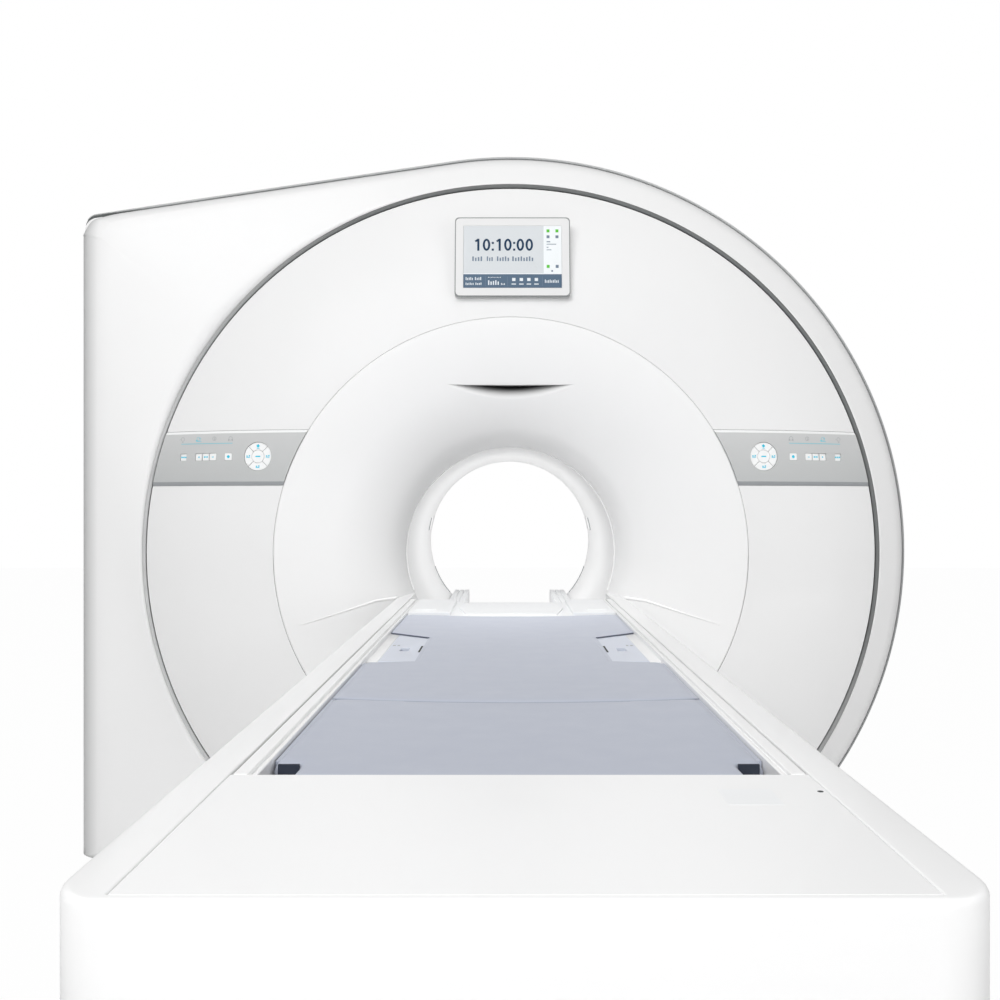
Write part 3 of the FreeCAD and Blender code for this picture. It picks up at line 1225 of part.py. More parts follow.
def cover_loop(inset):
    """A pedestal cover's outline, moved in."""
    return rounded_rectangle(f"pedestal_half - ({inset})",
                             f"(pedestal_back - pedestal_front) / 2 - ({inset})",
                             f"pedestal_corner - ({inset})", centre_y=MIDDLE)


def cover_tube(name, stage, low, high):
    """One telescoping cover."""
    outer = f"{stage} * (pedestal_wall + pedestal_gap)"
    return prism(name, "XY_Plane", cover_loop(outer), f"({high}) - ({low})", depth=low,
                 holes=[cover_loop(f"{outer} + pedestal_wall")])


def column_loop(stage):
    """A lift column's outline. Stage 0 is the fixed one, inside the others."""
    half = f"(column_half + {stage} * (column_wall + column_gap))"
    return rectangle(f"-{half}", half, f"{MIDDLE} - {half}", f"{MIDDLE} + {half}")


def column_tube(name, stage, low, high):
    """One stage of the telescoping lift column."""
    inner = f"(column_half + {stage} * (column_wall + column_gap) - column_wall)"
    hole = rectangle(f"-{inner}", inner, f"{MIDDLE} - {inner}", f"{MIDDLE} + {inner}")
    return prism(name, "XY_Plane", column_loop(stage), f"({high}) - ({low})", depth=low, holes=[hole])


def make_pedestal():
    """Three telescoping covers round three telescoping columns. The middle pair is joined by a bridge."""
    mid_top = "(pedestal_mid_base + pedestal_mid_height)"
    keep("pedestal_lower", cover_tube("pedestal_lower", 0, "base_height", "pedestal_low_top"))
    shell = cover_tube("pedestal_middle_tube", 1, "pedestal_mid_base", mid_top)
    half = "(pedestal_half - pedestal_wall - pedestal_gap)"
    floor = prism("pedestal_middle_floor", "XY_Plane", rectangle(
        f"-{half} + pedestal_wall / 2", f"{half} - pedestal_wall / 2", f"{MIDDLE} - column_half * 3",
        f"{MIDDLE} + column_half * 3"), "pedestal_mid_floor", depth="pedestal_mid_base",
        holes=[column_loop(1)])
    keep("pedestal_middle", fuse("pedestal_middle", [shell, floor]))
    keep("pedestal_upper", cover_tube("pedestal_upper", 2, f"{TABLE_SOLE} - pedestal_top_height", TABLE_SOLE))
    keep("lift_column_lower", column_tube("lift_column_lower", 0, "base_height", "column_low_top"))
    keep("lift_column_middle", column_tube("lift_column_middle", 1, "pedestal_mid_base",
                                           "pedestal_mid_base + column_mid_height"))
    keep("lift_column_upper", column_tube("lift_column_upper", 2, f"{TABLE_SOLE} - column_top_height",
                                          TABLE_SOLE))


# ---------------------------------------------------------------- build, test and write

def make_all():
    make_front_cover()
    make_edge_trim()
    make_side_covers()
    make_rear_cover()
    make_ring_panels()
    make_trim_ring()
    make_funnel_bezel()
    for side in SIDES:
        make_control_panel(side)
        make_magnet_foot(side)
        make_bore_rail(side)
        make_coil_socket(side)
    make_display()
    make_bore_tube()
    make_body_coil()
    make_gradient_coil()
    make_magnet()
    make_cover_frame()
    make_table_shell()
    make_table_frame()
    make_foot_cover()
    make_cradle()
    make_head_plate()
    make_pads()
    make_table_base()
    make_pedestal()


def test_and_write():
    doc.recompute()
    failed = [o.Label for o in doc.Objects if {"Invalid", "Error"} & set(o.State)]
    for name, thing in nodes.items():
        shape = thing.Shape
        if shape.isNull() or not shape.isValid() or len(shape.Solids) != 1:
            failed.append(f"{name} (solids: {len(shape.Solids)})")
    if failed:
        raise ValueError("not built: " + ", ".join(failed))
    os.makedirs("parts", exist_ok=True)
    for name, thing in nodes.items():
        thing.Shape.exportStep(f"parts/{name}.step")
    print(f"{len(nodes)} sub-parts written")


make_all()
test_and_write()
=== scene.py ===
"""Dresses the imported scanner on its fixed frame: glossy covers, controls, display, patient table and pads."""

import json
import logging
import math
from collections.abc import Callable, Iterable, Sequence
from dataclasses import dataclass, field
from enum import Enum

import bmesh
import bpy
from mathutils import Matrix, Vector

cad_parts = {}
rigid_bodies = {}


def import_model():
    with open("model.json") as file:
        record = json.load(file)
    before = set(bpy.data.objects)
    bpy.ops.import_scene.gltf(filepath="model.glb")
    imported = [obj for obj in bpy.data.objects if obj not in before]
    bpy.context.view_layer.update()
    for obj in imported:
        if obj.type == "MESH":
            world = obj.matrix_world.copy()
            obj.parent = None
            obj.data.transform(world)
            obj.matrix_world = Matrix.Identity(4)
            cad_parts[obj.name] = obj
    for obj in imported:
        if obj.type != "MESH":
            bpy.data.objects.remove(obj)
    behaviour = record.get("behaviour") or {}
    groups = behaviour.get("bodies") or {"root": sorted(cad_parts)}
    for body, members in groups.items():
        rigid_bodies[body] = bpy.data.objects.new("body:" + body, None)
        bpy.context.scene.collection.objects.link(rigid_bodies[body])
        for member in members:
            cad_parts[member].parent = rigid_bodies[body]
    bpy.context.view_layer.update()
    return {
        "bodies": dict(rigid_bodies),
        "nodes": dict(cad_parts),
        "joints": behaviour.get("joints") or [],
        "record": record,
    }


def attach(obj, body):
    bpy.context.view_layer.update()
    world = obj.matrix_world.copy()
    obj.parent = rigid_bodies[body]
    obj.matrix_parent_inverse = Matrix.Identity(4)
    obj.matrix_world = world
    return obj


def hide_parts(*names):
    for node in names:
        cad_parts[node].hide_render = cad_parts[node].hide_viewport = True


LOG = logging.getLogger("scanner")
ISO = 0.910
SEAM = 0.0008
SIDES = {"left": -1, "right": 1}
UP, DOWN, TO_FRONT = Vector((0, 0, 1)), Vector((0, 0, -1)), Vector((0, -1, 0))
PATTERN_LOW, PATTERN_HIGH = 0.3, 0.7
MERGE = 1e-6
Point = tuple[float, float]
Color = tuple[float, float, float]
Socket = bpy.types.NodeSocket


def srgb(code: str) -> Color:
    """The linear colour of a six-digit screen colour."""
    values = [int(code[i:i + 2], 16) / 255 for i in (0, 2, 4)]
    return tuple(v / 12.92 if v <= 0.04045 else ((v + 0.055) / 1.055) ** 2.4 for v in values)


# ---------------------------------------------------------------- finishes

class Sheet:
    """A material's node tree, with short calls to add and join nodes."""

    def __init__(self, name: str) -> None:
        """Starts a material whose patterns read Object coordinates.

        Args:
            name: The material's name.
        """
        self.material = bpy.data.materials.new(name)
        self.material.use_nodes = True
        self.nodes = self.material.node_tree.nodes
        self.links = self.material.node_tree.links
        self.shader = self.nodes["Principled BSDF"]
        self.place = self.nodes.new("ShaderNodeTexCoord").outputs["Object"]

    def noise(self, scale: float, detail: float = 3,
              stretch: tuple[float, float, float] = (1, 1, 1)) -> Socket:
        """A noise pattern.

        Args:
            scale: Its waves per metre.
            detail: Its finer octaves.
            stretch: Scale along each axis, for grain that runs one way.

        Returns:
            The pattern's value socket.
        """
        place = self.place
        if stretch != (1, 1, 1):
            mapping = self.nodes.new("ShaderNodeMapping")
            mapping.inputs["Scale"].default_value = stretch
            self.links.new(place, mapping.inputs["Vector"])
            place = mapping.outputs["Vector"]
        node = self.nodes.new("ShaderNodeTexNoise")
        node.inputs["Scale"].default_value = scale
        node.inputs["Detail"].default_value = detail
        self.links.new(place, node.inputs["Vector"])
        return node.outputs["Fac"]

    def along(self, direction: tuple[float, float, float], start: float, end: float) -> Socket:
        """A value that runs from 0 to 1 between two places along a direction."""
        dot = self.nodes.new("ShaderNodeVectorMath")
        dot.operation = "DOT_PRODUCT"
        dot.inputs[1].default_value = direction
        self.links.new(self.place, dot.inputs[0])
        node = self.nodes.new("ShaderNodeMapRange")
        node.inputs["From Min"].default_value = start
        node.inputs["From Max"].default_value = end
        self.links.new(dot.outputs["Value"], node.inputs["Value"])
        return node.outputs["Result"]

    def tint(self, pattern: Socket, low: Color, high: Color, fade: "Fade | None" = None) -> None:
        """Colours the surface between two colours by a pattern.

        Args:
            pattern: The pattern's value socket.
            low: The colour where the pattern is low.
            high: The colour where it is high.
            fade: A further colour that takes over along a direction or by the mesh's own values.
        """
        ramp = self.nodes.new("ShaderNodeValToRGB")
        ends = ((PATTERN_LOW, low), (PATTERN_HIGH, high))
        for element, (position, color) in zip(ramp.color_ramp.elements, ends):
            element.position = position
            element.color = (*color, 1)
        self.links.new(pattern, ramp.inputs["Fac"])
        result = ramp.outputs["Color"]
        if fade is not None:
            mix = self.nodes.new("ShaderNodeMix")
            mix.data_type = "RGBA"
            self.links.new(fade.share(self), mix.inputs[0])
            self.links.new(result, mix.inputs[6])
            mix.inputs[7].default_value = (*fade.color, 1)
            result = mix.outputs[2]
        self.links.new(result, self.shader.inputs["Base Color"])

    def spread(self, pattern: Socket, low: float, high: float) -> None:
        """Drives the roughness between two values by a pattern."""
        node = self.nodes.new("ShaderNodeMapRange")
        node.inputs["From Min"].default_value = PATTERN_LOW
        node.inputs["From Max"].default_value = PATTERN_HIGH
        node.inputs["To Min"].default_value = low
        node.inputs["To Max"].default_value = high
        self.links.new(pattern, node.inputs["Value"])
        self.links.new(node.outputs["Result"], self.shader.inputs["Roughness"])

    def bump(self, patterns: Sequence[Socket], depths: Sequence[float]) -> None:
        """Raises the surface by one or more patterns.

        Args:
            patterns: Value sockets, the widest first.
            depths: The height of each in metres.
        """
        normal = None
        for pattern, depth in zip(patterns, depths):
            node = self.nodes.new("ShaderNodeBump")
            node.inputs["Strength"].default_value = 1.0
            node.inputs["Distance"].default_value = depth
            self.links.new(pattern, node.inputs["Height"])
            if normal is not None:
                self.links.new(normal, node.inputs["Normal"])
            normal = node.outputs["Normal"]
        self.links.new(normal, self.shader.inputs["Normal"])

    def set(self, **values: float) -> None:
        """Sets the shader's own sockets; an underscore in a name stands for a space."""
        for name, number in values.items():
            self.shader.inputs[name.replace("_", " ")].default_value = number


def shade(color: Color, factor: float) -> Color:
    """A colour made darker or lighter by a factor."""
    return tuple(min(1.0, channel * factor) for channel in color)


@dataclass(frozen=True)
class Fade:
    """A colour that takes over along a direction, or where the mesh's own values say so."""

    color: Color
    direction: tuple[float, float, float] = (0, 0, 1)
    start: float = 0.0
    end: float = 1.0
    layer: str = ""

    def share(self, sheet: Sheet) -> Socket:
        """The socket that says how far the colour takes over."""
        if not self.layer:
            return sheet.along(self.direction, self.start, self.end)
        node = sheet.nodes.new("ShaderNodeAttribute")
        node.attribute_name = self.layer
        return node.outputs["Fac"]


@dataclass(frozen=True)
class Moulded:
    """Moulded or lacquered plastic: faint orange peel, slight drift of colour and gloss."""

    name: str
    color: Color
    roughness: float = 0.25
    coat: float = 0.35
    peel: float = 0.00003
    drift: float = 0.992
    fade: Fade | None = None

    def material(self) -> bpy.types.Material:
        """Builds the material."""
        sheet = Sheet(self.name)
        cloud = sheet.noise(1.7, 4)
        sheet.tint(cloud, shade(self.color, self.drift), self.color, self.fade)
        sheet.spread(sheet.noise(9, 5), self.roughness * 0.98, self.roughness * 1.02)
        sheet.bump([sheet.noise(60, 2), sheet.noise(420, 2)], [self.peel, self.peel * 0.2])
        sheet.set(Coat_Weight=self.coat, Coat_Roughness=0.06)
        return sheet.material


@dataclass(frozen=True)
class Metal:
    """Brushed or cast metal whose grain runs along one axis."""

    name: str
    color: Color
    roughness: float = 0.32
    grain: tuple[float, float, float] = (1, 1, 40)
    metallic: float = 1.0
    fade: Fade | None = None

    def material(self) -> bpy.types.Material:
        """Builds the material."""
        sheet = Sheet(self.name)
        lines = sheet.noise(12, 4, self.grain)
        sheet.tint(lines, shade(self.color, 0.92), self.color, self.fade)
        sheet.spread(lines, self.roughness * 0.8, self.roughness * 1.2)
        sheet.bump([lines], [0.00002])
        sheet.set(Metallic=self.metallic)
        return sheet.material


@dataclass(frozen=True)
class CoatedFoam:
    """The pads' coated cloth: a fine pebbled grain, a soft sheen and slightly paler worn places."""

    name: str
    color: Color
    roughness: float = 0.55
    fade: Fade | None = None

    def material(self) -> bpy.types.Material:
        """Builds the material."""
        sheet = Sheet(self.name)
        sheet.tint(sheet.noise(3.2, 5), shade(self.color, 0.97), shade(self.color, 1.02), self.fade)
        sheet.spread(sheet.noise(24, 4), self.roughness * 0.88, self.roughness * 1.1)
        pebble = sheet.nodes.new("ShaderNodeTexVoronoi")
        pebble.inputs["Scale"].default_value = 900
        sheet.links.new(sheet.place, pebble.inputs["Vector"])
        sheet.bump([sheet.noise(14, 3), pebble.outputs["Distance"]], [0.0006, 0.00006])
        sheet.set(Sheen_Weight=0.15, Sheen_Roughness=0.5)
        return sheet.material


@dataclass(frozen=True)
class Ink:
    """Print or a screen mark of one colour, with a fine dot pattern."""

    name: str
    color: Color
    roughness: float = 0.4

    def material(self) -> bpy.types.Material:
        """Builds the material."""
        sheet = Sheet(self.name)
        sheet.tint(sheet.noise(700, 1), shade(self.color, 0.97), self.color)
        sheet.set(Roughness=self.roughness)
        return sheet.material


class Look(Enum):
    """Every finish of the scanner."""

    COVER = Moulded("cover white", srgb("F3F3F3"), 0.3, 0.25)
    # The front cover darkens towards its far left edge: painted shade on its rounded left shoulder.
    FRONT = Moulded("front cover white", srgb("F3F3F3"), 0.3, 0.25,
                    fade=Fade(srgb("BFC0C0"), (-1, 0, 0), 1.185, 1.250))
    RING = Moulded("ring panel white", srgb("EDEDED"), 0.2, 0.5)
    # The funnel's vent layer blends in painted shade: the dark of the vent's slot under its straight top, and a
    # darkening towards the bore's lip, most at the left and the top.
    FUNNEL = Moulded("funnel white", srgb("F1F1F1"), 0.45, 0.05, fade=Fade(srgb("1C1C1C"), layer="vent"))
    BORE = Moulded("bore liner", srgb("F3F3F3"), 0.5, 0.0)
    # A paler white for painted highlights: the funnel's creases, the bore's lip ring and the bore's rear
    # recesses.
    BRIGHT = Moulded("painted highlight white", srgb("FFFFFF"), 0.5, 0.0)
    TABLE = Moulded("table white", srgb("F6F6F6"), 0.35, 0.15)
    DECK = Moulded("deck white", srgb("F2F3F4"), 0.45, 0.05)
    # The silver darkens towards the panels' lower edge: painted shade.
    PANEL = Moulded("control panel silver", srgb("CDCECE"), 0.42, 0.1, 0.00004, 0.94,
                    Fade(srgb("BCBEBE"), (0, 0, -1), -(ISO + 0.33), -(ISO + 0.20)))
    # Paler and darker copies of the panel's silver: painted highlight on its sloped upper edge, painted shade
    # on its sloped foot.
    PANEL_TOP_HIGHLIGHT = Moulded("control panel top edge", srgb("F4F5F5"), 0.35, 0.1)
    PANEL_FOOT_SHADE = Moulded("control panel foot", srgb("9EA1A4"), 0.4, 0.1)
    KEY = Moulded("key white", srgb("F4F5F5"), 0.35, 0.2)
    HOUSING = Moulded("display housing", srgb("E2E2E2"), 0.35, 0.15)
    HOUSING_EDGE = Moulded("display housing rim", srgb("8A8D8D"), 0.35, 0.15)
    GAP = Moulded("shadow gap", srgb("3C3E3E"), 0.7, 0.0)
    GROOVE = Moulded("shadow groove", srgb("5C6060"), 0.6, 0.0)
    # The ring trim darkens towards the upper right: painted reflection.
    RING_TRIM = Metal("ring trim", srgb("D6D7D7"), 0.4, (1, 30, 1), 0.3,
                      Fade(srgb("7C7E7E"), (0.62, 0, 0.78), ISO * 0.78 - 0.35, ISO * 0.78 + 0.45))
    # The edge trim is paler towards the top: painted highlight.
    EDGE_TRIM = Metal("edge trim", srgb("BFC1C1"), 0.4, (1, 30, 1), 0.3,
                      Fade(srgb("DADCDC"), (0, 0, 1), ISO + 0.35, ISO + 0.95))
    SOCKET = Moulded("socket plate", srgb("D9DEEA"), 0.4, 0.1)
    # The mats darken towards the foot end: painted shade.
    PAD = CoatedFoam("pad cover", srgb("C9CEDB"), fade=Fade(srgb("B3B8C5"), (0, -1, 0), 1.1, 2.5))
    # A dark blue-grey for the blocks at the foot mat's near corners.
    PAD_DARK = Moulded("pad corner dark", srgb("2F3542"), 0.7, 0.0)
    # A darker blue-grey for the sheet of painted shade in the gap between the mats.
    PAD_SEAM_SHADE = Moulded("pad seam painted shade", srgb("9CA2B0"), 0.6, 0.0)
    # Painted shade along the far edges of the mats' notches.
    PAD_FOOT = Moulded("pad notch edge painted shade", srgb("666C7A"), 0.6, 0.0)
    FRAME = Moulded("frame lacquer", srgb("C9CCCE"), 0.45, 0.1, 0.00005)
    STEEL = Metal("ground steel", srgb("B9BCBE"), 0.35)
    ALUMINIUM = Metal("milled aluminium", srgb("CFD1D3"), 0.38, (1, 1, 30))
    VESSEL = Metal("vessel alloy", srgb("C2C5C8"), 0.42, (1, 30, 1))
    RESIN = Moulded("cast resin", srgb("C9B88C"), 0.5, 0.2, 0.0001, 0.9)
    FORMER = Moulded("coil former", srgb("DAD2B4"), 0.5, 0.1, 0.00006, 0.93)
    CYAN = Ink("cyan print", srgb("35C4E0"))
    CYAN_LINE = Ink("cyan line", srgb("7CC7D6"))
    # Grey print, also used as painted shade along the front edges of the bore's rear recesses.
    FAINT = Ink("grey print and painted shade", srgb("A5A9AB"))
    SCREEN = Ink("screen ground", srgb("D4D8DB"), 0.3)
    SCREEN_SIDE = Ink("screen column", srgb("EDF1F3"), 0.3)
    SCREEN_BAR = Ink("screen foot bar", srgb("566B80"), 0.3)
    SCREEN_DIGIT = Ink("screen digits", srgb("0E3352"), 0.3)
    SCREEN_WORD = Ink("screen words", srgb("6F7F92"), 0.3)
    SCREEN_WHITE = Ink("screen marks", srgb("E6EBEF"), 0.3)
    SCREEN_GREEN = Ink("screen green", srgb("5BC13A"), 0.3)


class Paints:
    """Makes each finish's material once."""

    def __init__(self) -> None:
        """Starts with no material made."""
        self.made: dict[Look, bpy.types.Material] = {}

    def __getitem__(self, look: Look) -> bpy.types.Material:
        """The material of one finish."""
        if look not in self.made:
            self.made[look] = look.value.material()
        return self.made[look]


PAINTS = Paints()


# ---------------------------------------------------------------- mesh work

def mapped_grid(columns: int, rows: int, place: Callable[[float, float], Vector]) -> bmesh.types.BMesh:
    """A grid laid on a surface that a formula gives.

    Args:
        columns: Faces across.
        rows: Faces along.
        place: Gives the point for u and v, each from 0 to 1.

    Returns:
        The new mesh, with the grid's doubles merged.
    """
    bm = bmesh.new()
    bmesh.ops.create_grid(bm, x_segments=columns, y_segments=rows, size=0.5)
    for vert in bm.verts:
        vert.co = place(vert.co.x + 0.5, vert.co.y + 0.5)
    bmesh.ops.remove_doubles(bm, verts=bm.verts, dist=MERGE)
    return bm


def face_towards(bm: bmesh.types.BMesh, direction: Vector) -> None:
    """Turns an open sheet so that most of its area faces a direction."""
    if sum(face.normal.dot(direction) * face.calc_area() for face in bm.faces) < 0:
        bmesh.ops.reverse_faces(bm, faces=bm.faces)


def spun(section: Sequence[Point], steps: int) -> bmesh.types.BMesh:
    """A closed section spun about the bore's axis.

    Args:
        section: Points as (place along the bore, distance from its axis).
        steps: Faces round the circle.

    Returns:
        The closed ring.
    """
    bm = bmesh.new()
    verts = [bm.verts.new((0, y, ISO + r)) for y, r in section]
    edges = [bm.edges.new(pair) for pair in zip(verts, verts[1:] + verts[:1])]
    bmesh.ops.spin(bm, geom=verts + edges, axis=(0, 1, 0), cent=(0, 0, ISO), angle=math.tau, steps=steps,
                   use_merge=True)
    bmesh.ops.remove_doubles(bm, verts=bm.verts, dist=MERGE)
    bmesh.ops.recalc_face_normals(bm, faces=bm.faces)
    return bm


def keep_side(bm: bmesh.types.BMesh, point: Vector, outward: Vector, cap: bool = True) -> None:
    """Cuts off what lies beyond a plane, and closes the cut.

    Args:
        bm: The mesh.
        point: A point of the plane.
        outward: The side that is cut off.
        cap: Whether the cut is closed.
    """
    cut = bmesh.ops.bisect_plane(bm, geom=bm.verts[:] + bm.edges[:] + bm.faces[:], plane_co=point,
                                 plane_no=outward, clear_outer=True, dist=1e-7)
    edges = [item for item in cut["geom_cut"] if isinstance(item, bmesh.types.BMEdge)]
    if cap and edges:
        bmesh.ops.edgeloop_fill(bm, edges=edges)


def score(bm: bmesh.types.BMesh, point: Vector, normal: Vector, where: Callable[[Vector], bool]) -> None:
    """Adds edges where a plane crosses the faces whose middle passes a test."""
    faces = [face for face in bm.faces if where(face.calc_center_median())]
    edges = {edge for face in faces for edge in face.edges}
    verts = {vert for face in faces for vert in face.verts}
    bmesh.ops.bisect_plane(bm, geom=[*verts, *edges, *faces], plane_co=point, plane_no=normal, dist=1e-7)


def copy_of(node: str) -> bmesh.types.BMesh:
    """A merged copy of a CAD node's mesh, with flat regions as single faces."""
    bm = bmesh.new()
    bm.from_mesh(bpy.data.objects[node].data)
    bmesh.ops.remove_doubles(bm, verts=bm.verts, dist=1e-5)
    bmesh.ops.dissolve_limit(bm, angle_limit=math.radians(0.4), verts=bm.verts, edges=bm.edges,
                             use_dissolve_boundaries=False)
    return bm


def box_mesh(size: tuple[float, float, float], place: Matrix) -> bmesh.types.BMesh:
    """A block of a size, centred at a place."""
    bm = bmesh.new()
    bmesh.ops.create_cube(bm, size=1)
    bmesh.ops.scale(bm, vec=size, verts=bm.verts)
    bmesh.ops.transform(bm, matrix=place, verts=bm.verts)
    return bm


def lofted(rows: Sequence[Sequence[Vector]]) -> bmesh.types.BMesh:
    """A closed skin through loops of points that all have the same number of points.

    Args:
        rows: The loops, in order; the first and the last are closed.

    Returns:
        The skin.
    """
    count, last = len(rows[0]), len(rows) - 1
    bm = mapped_grid(count, last, lambda u, v: rows[round(v * last)][round(u * count) % count])
    bmesh.ops.holes_fill(bm, edges=bm.edges, sides=0)
    bmesh.ops.recalc_face_normals(bm, faces=bm.faces)
    return bm


class Stamp:
    """Flat shapes a fraction of a millimetre thick, for print and screen marks, in a face's own frame."""

    THICK = 0.0002

    @classmethod
    def bar(cls, x: float, y: float, width: float, height: float, turn: float = 0.0) -> bmesh.types.BMesh:
        """A bar about its middle, turned by an angle in degrees."""
        place = Matrix.Translation((x, y, 0)) @ Matrix.Rotation(math.radians(turn), 4, "Z")
        return box_mesh((width, height, cls.THICK), place)

    @classmethod
    def disc(cls, x: float, y: float, radius: float, corners: int = 20) -> bmesh.types.BMesh:
        """A round dot, or a small polygon with few corners."""
        bm = bmesh.new()
        bmesh.ops.create_cone(bm, cap_ends=True, segments=corners, radius1=radius, radius2=radius,
                              depth=cls.THICK)
        bmesh.ops.translate(bm, vec=(x, y, 0), verts=bm.verts)
        return bm

    @classmethod
    def ring(cls, x: float, y: float, wide: float, high: float, stroke: float) -> bmesh.types.BMesh:
        """An upright oval line of a half width, a half height and a stroke."""
        bm = bmesh.new()
        bmesh.ops.create_circle(bm, segments=32, radius=1)
        inner = bmesh.ops.extrude_edge_only(bm, edges=bm.edges[:])["geom"]
        bmesh.ops.scale(bm, vec=(wide, high, 1), verts=bm.verts)
        verts = [item for item in inner if isinstance(item, bmesh.types.BMVert)]
        bmesh.ops.scale(bm, vec=((wide - stroke) / wide, (high - stroke) / high, 1), verts=verts)
        raised = bmesh.ops.extrude_face_region(bm, geom=bm.faces[:])["geom"]
        verts = [item for item in raised if isinstance(item, bmesh.types.BMVert)]
        bmesh.ops.translate(bm, vec=(0, 0, cls.THICK), verts=verts)
        bmesh.ops.translate(bm, vec=(x, y, -cls.THICK / 2), verts=bm.verts)
        bmesh.ops.recalc_face_normals(bm, faces=bm.faces)
        return bm

    @staticmethod
    def joined(shapes: Iterable[bmesh.types.BMesh]) -> bmesh.types.BMesh:
        """Several shapes as one mesh; the shapes are used up."""
        whole = bmesh.new()
        for shape in shapes:
            mesh = bpy.data.meshes.new("shape")
            shape.to_mesh(mesh)
            shape.free()
            whole.from_mesh(mesh)
            bpy.data.meshes.remove(mesh)
        return whole


def shade_smooth(mesh: bpy.types.Mesh, smooth: float = 35.0) -> None:
    """Shades a mesh smooth, apart from edges sharper than an angle in degrees."""
    for polygon in mesh.polygons:
        polygon.use_smooth = True
    mesh.set_sharp_from_angle(angle=math.radians(smooth))


def apply_modifiers(piece: bpy.types.Object) -> None:
    """Applies a piece's modifiers to its mesh."""
    bpy.context.view_layer.update()
    result = bpy.data.meshes.new_from_object(piece.evaluated_get(bpy.context.evaluated_depsgraph_get()))
    piece.modifiers.clear()
    old = piece.data
    piece.data = result
    bpy.data.meshes.remove(old)


@dataclass
class Rounding:
    """A bevel on every edge that is sharper than an angle."""

    width: float = 0.001
    segments: int = 2
    angle: float = 30.0

    def add(self, piece: bpy.types.Object) -> None:
        """Adds the bevel to a piece as a live modifier."""
        bevel = piece.modifiers.new("edges", "BEVEL")
        bevel.width = self.width
        bevel.segments = self.segments
        bevel.limit_method = "ANGLE"
        bevel.angle_limit = math.radians(self.angle)
        bevel.use_clamp_overlap = True
        bevel.harden_normals = False


@dataclass
class Maker:
    """Turns meshes into finished pieces that ride on the frame's bodies."""

    frame: dict
    made: list[bpy.types.Object] = field(default_factory=list)

    def body(self, node: str) -> str:
        """The body that holds a node."""
        bodies = self.frame["record"]["behaviour"]["bodies"]
        return next(name for name, nodes in bodies.items() if node in nodes)

    def slot(self, node: str) -> str:
        """The record's material slot of a node."""
        parts = self.frame["record"]["subparts"]
        return next(part["material_slot"] for part in parts if part["node"] == node)

    def piece(self, name: str, bm: bmesh.types.BMesh, look: Look, host: str, replaces: Iterable[str] = (),
              rounding: Rounding | None = None, smooth: float = 35.0) -> bpy.types.Object:
        """Makes a mesh into a piece.

        Args:
            name: The piece's name.
            bm: Its mesh, which is used up.
            look: Its finish.
            host: The CAD node whose body it rides on; its material slot is only looked up.
            replaces: CAD nodes that it stands for.
            rounding: A bevel for its sharp edges.
            smooth: Edges flatter than this angle are shaded smooth.

        Returns:
            The new object.
        """
        mesh = bpy.data.meshes.new(name)
        bm.to_mesh(mesh)
        bm.free()
        shade_smooth(mesh, smooth)
        mesh.materials.append(PAINTS[look])
        piece = bpy.data.objects.new(name, mesh)
        bpy.context.scene.collection.objects.link(piece)
        if rounding is not None:
            rounding.add(piece)
        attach(piece, self.body(host))
        self.slot(host)
        for node in replaces:
            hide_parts(node)
        self.made.append(piece)
        LOG.info("%s rides on %s", name, self.body(host))
        return piece

    def dressed(self, node: str, look: Look, rounding: Rounding | None = None,
                smooth: float = 35.0) -> bpy.types.Object:
        """A softened copy of a CAD node that stands for it."""
        return self.piece(f"{node}_skin", copy_of(node), look, node, [node], rounding, smooth)

    def paint(self, node: str, look: Look) -> None:
        """Gives a CAD node that stays its finish."""
        self.frame["nodes"][node].data.materials.clear()
        self.frame["nodes"][node].data.materials.append(PAINTS[look])


def carve(piece: bpy.types.Object, cutters: Sequence[bmesh.types.BMesh]) -> None:
    """Cuts closed meshes out of a piece and keeps the result in its mesh.

    Args:
        piece: The piece.
        cutters: Meshes to take away, which are used up.
    """
    helpers = []
    for number, cutter in enumerate(cutters):
        mesh = bpy.data.meshes.new(f"cutter_{number}")
        cutter.to_mesh(mesh)
        cutter.free()
        helper = bpy.data.objects.new(mesh.name, mesh)
        bpy.context.scene.collection.objects.link(helper)
        modifier = piece.modifiers.new("cut", "BOOLEAN")
        modifier.operation = "DIFFERENCE"
        modifier.solver = "EXACT"
        modifier.object = helper
        helpers.append(helper)
    apply_modifiers(piece)
    for helper in helpers:
        mesh = helper.data
        bpy.data.objects.remove(helper)
        bpy.data.meshes.remove(mesh)


def shell(piece: bpy.types.Object, wall: float) -> None:
    """Gives an open sheet a wall behind its face."""
    solidify = piece.modifiers.new("wall", "SOLIDIFY")
    solidify.thickness = wall
    solidify.offset = -1
    solidify.use_even_offset = False


# ---------------------------------------------------------------- the gantry

@dataclass
class RingFace:
    """The domed face of the ring panel, as a formula."""

    seam_radius: float = 0.643
    seam_depth: float = 0.681
    trim_radius: float = 1.023
    trim_depth: float = 0.570
    dome: float = 1.100

    def at(self, radius: float, lift: float = 0.0) -> float:
        """Where the face lies along the bore at a radius.

        Args:
            radius: Distance from the bore's axis.
            lift: How far it is lifted off.

        Returns:
            The place along Y.
        """
        rise, run = self.seam_depth - self.trim_depth, self.trim_radius - self.seam_radius
        chord = math.hypot(rise, run)
        reach = math.sqrt(self.dome ** 2 - (chord / 2) ** 2)
        centre_y = -(self.seam_depth + self.trim_depth) / 2 + reach * run / chord
        centre_r = (self.seam_radius + self.trim_radius) / 2 - reach * rise / chord
        return centre_y - math.sqrt((self.dome + lift) ** 2 - (radius - centre_r) ** 2)

    def arc(self, inner: float, outer: float, lift: float, runs: int) -> list[Point]:
        """Points of the face's section from an inner to an outer radius."""
        radii = [inner + (outer - inner) * step / runs for step in range(runs + 1)]
        return [(self.at(radius, lift), radius) for radius in radii]


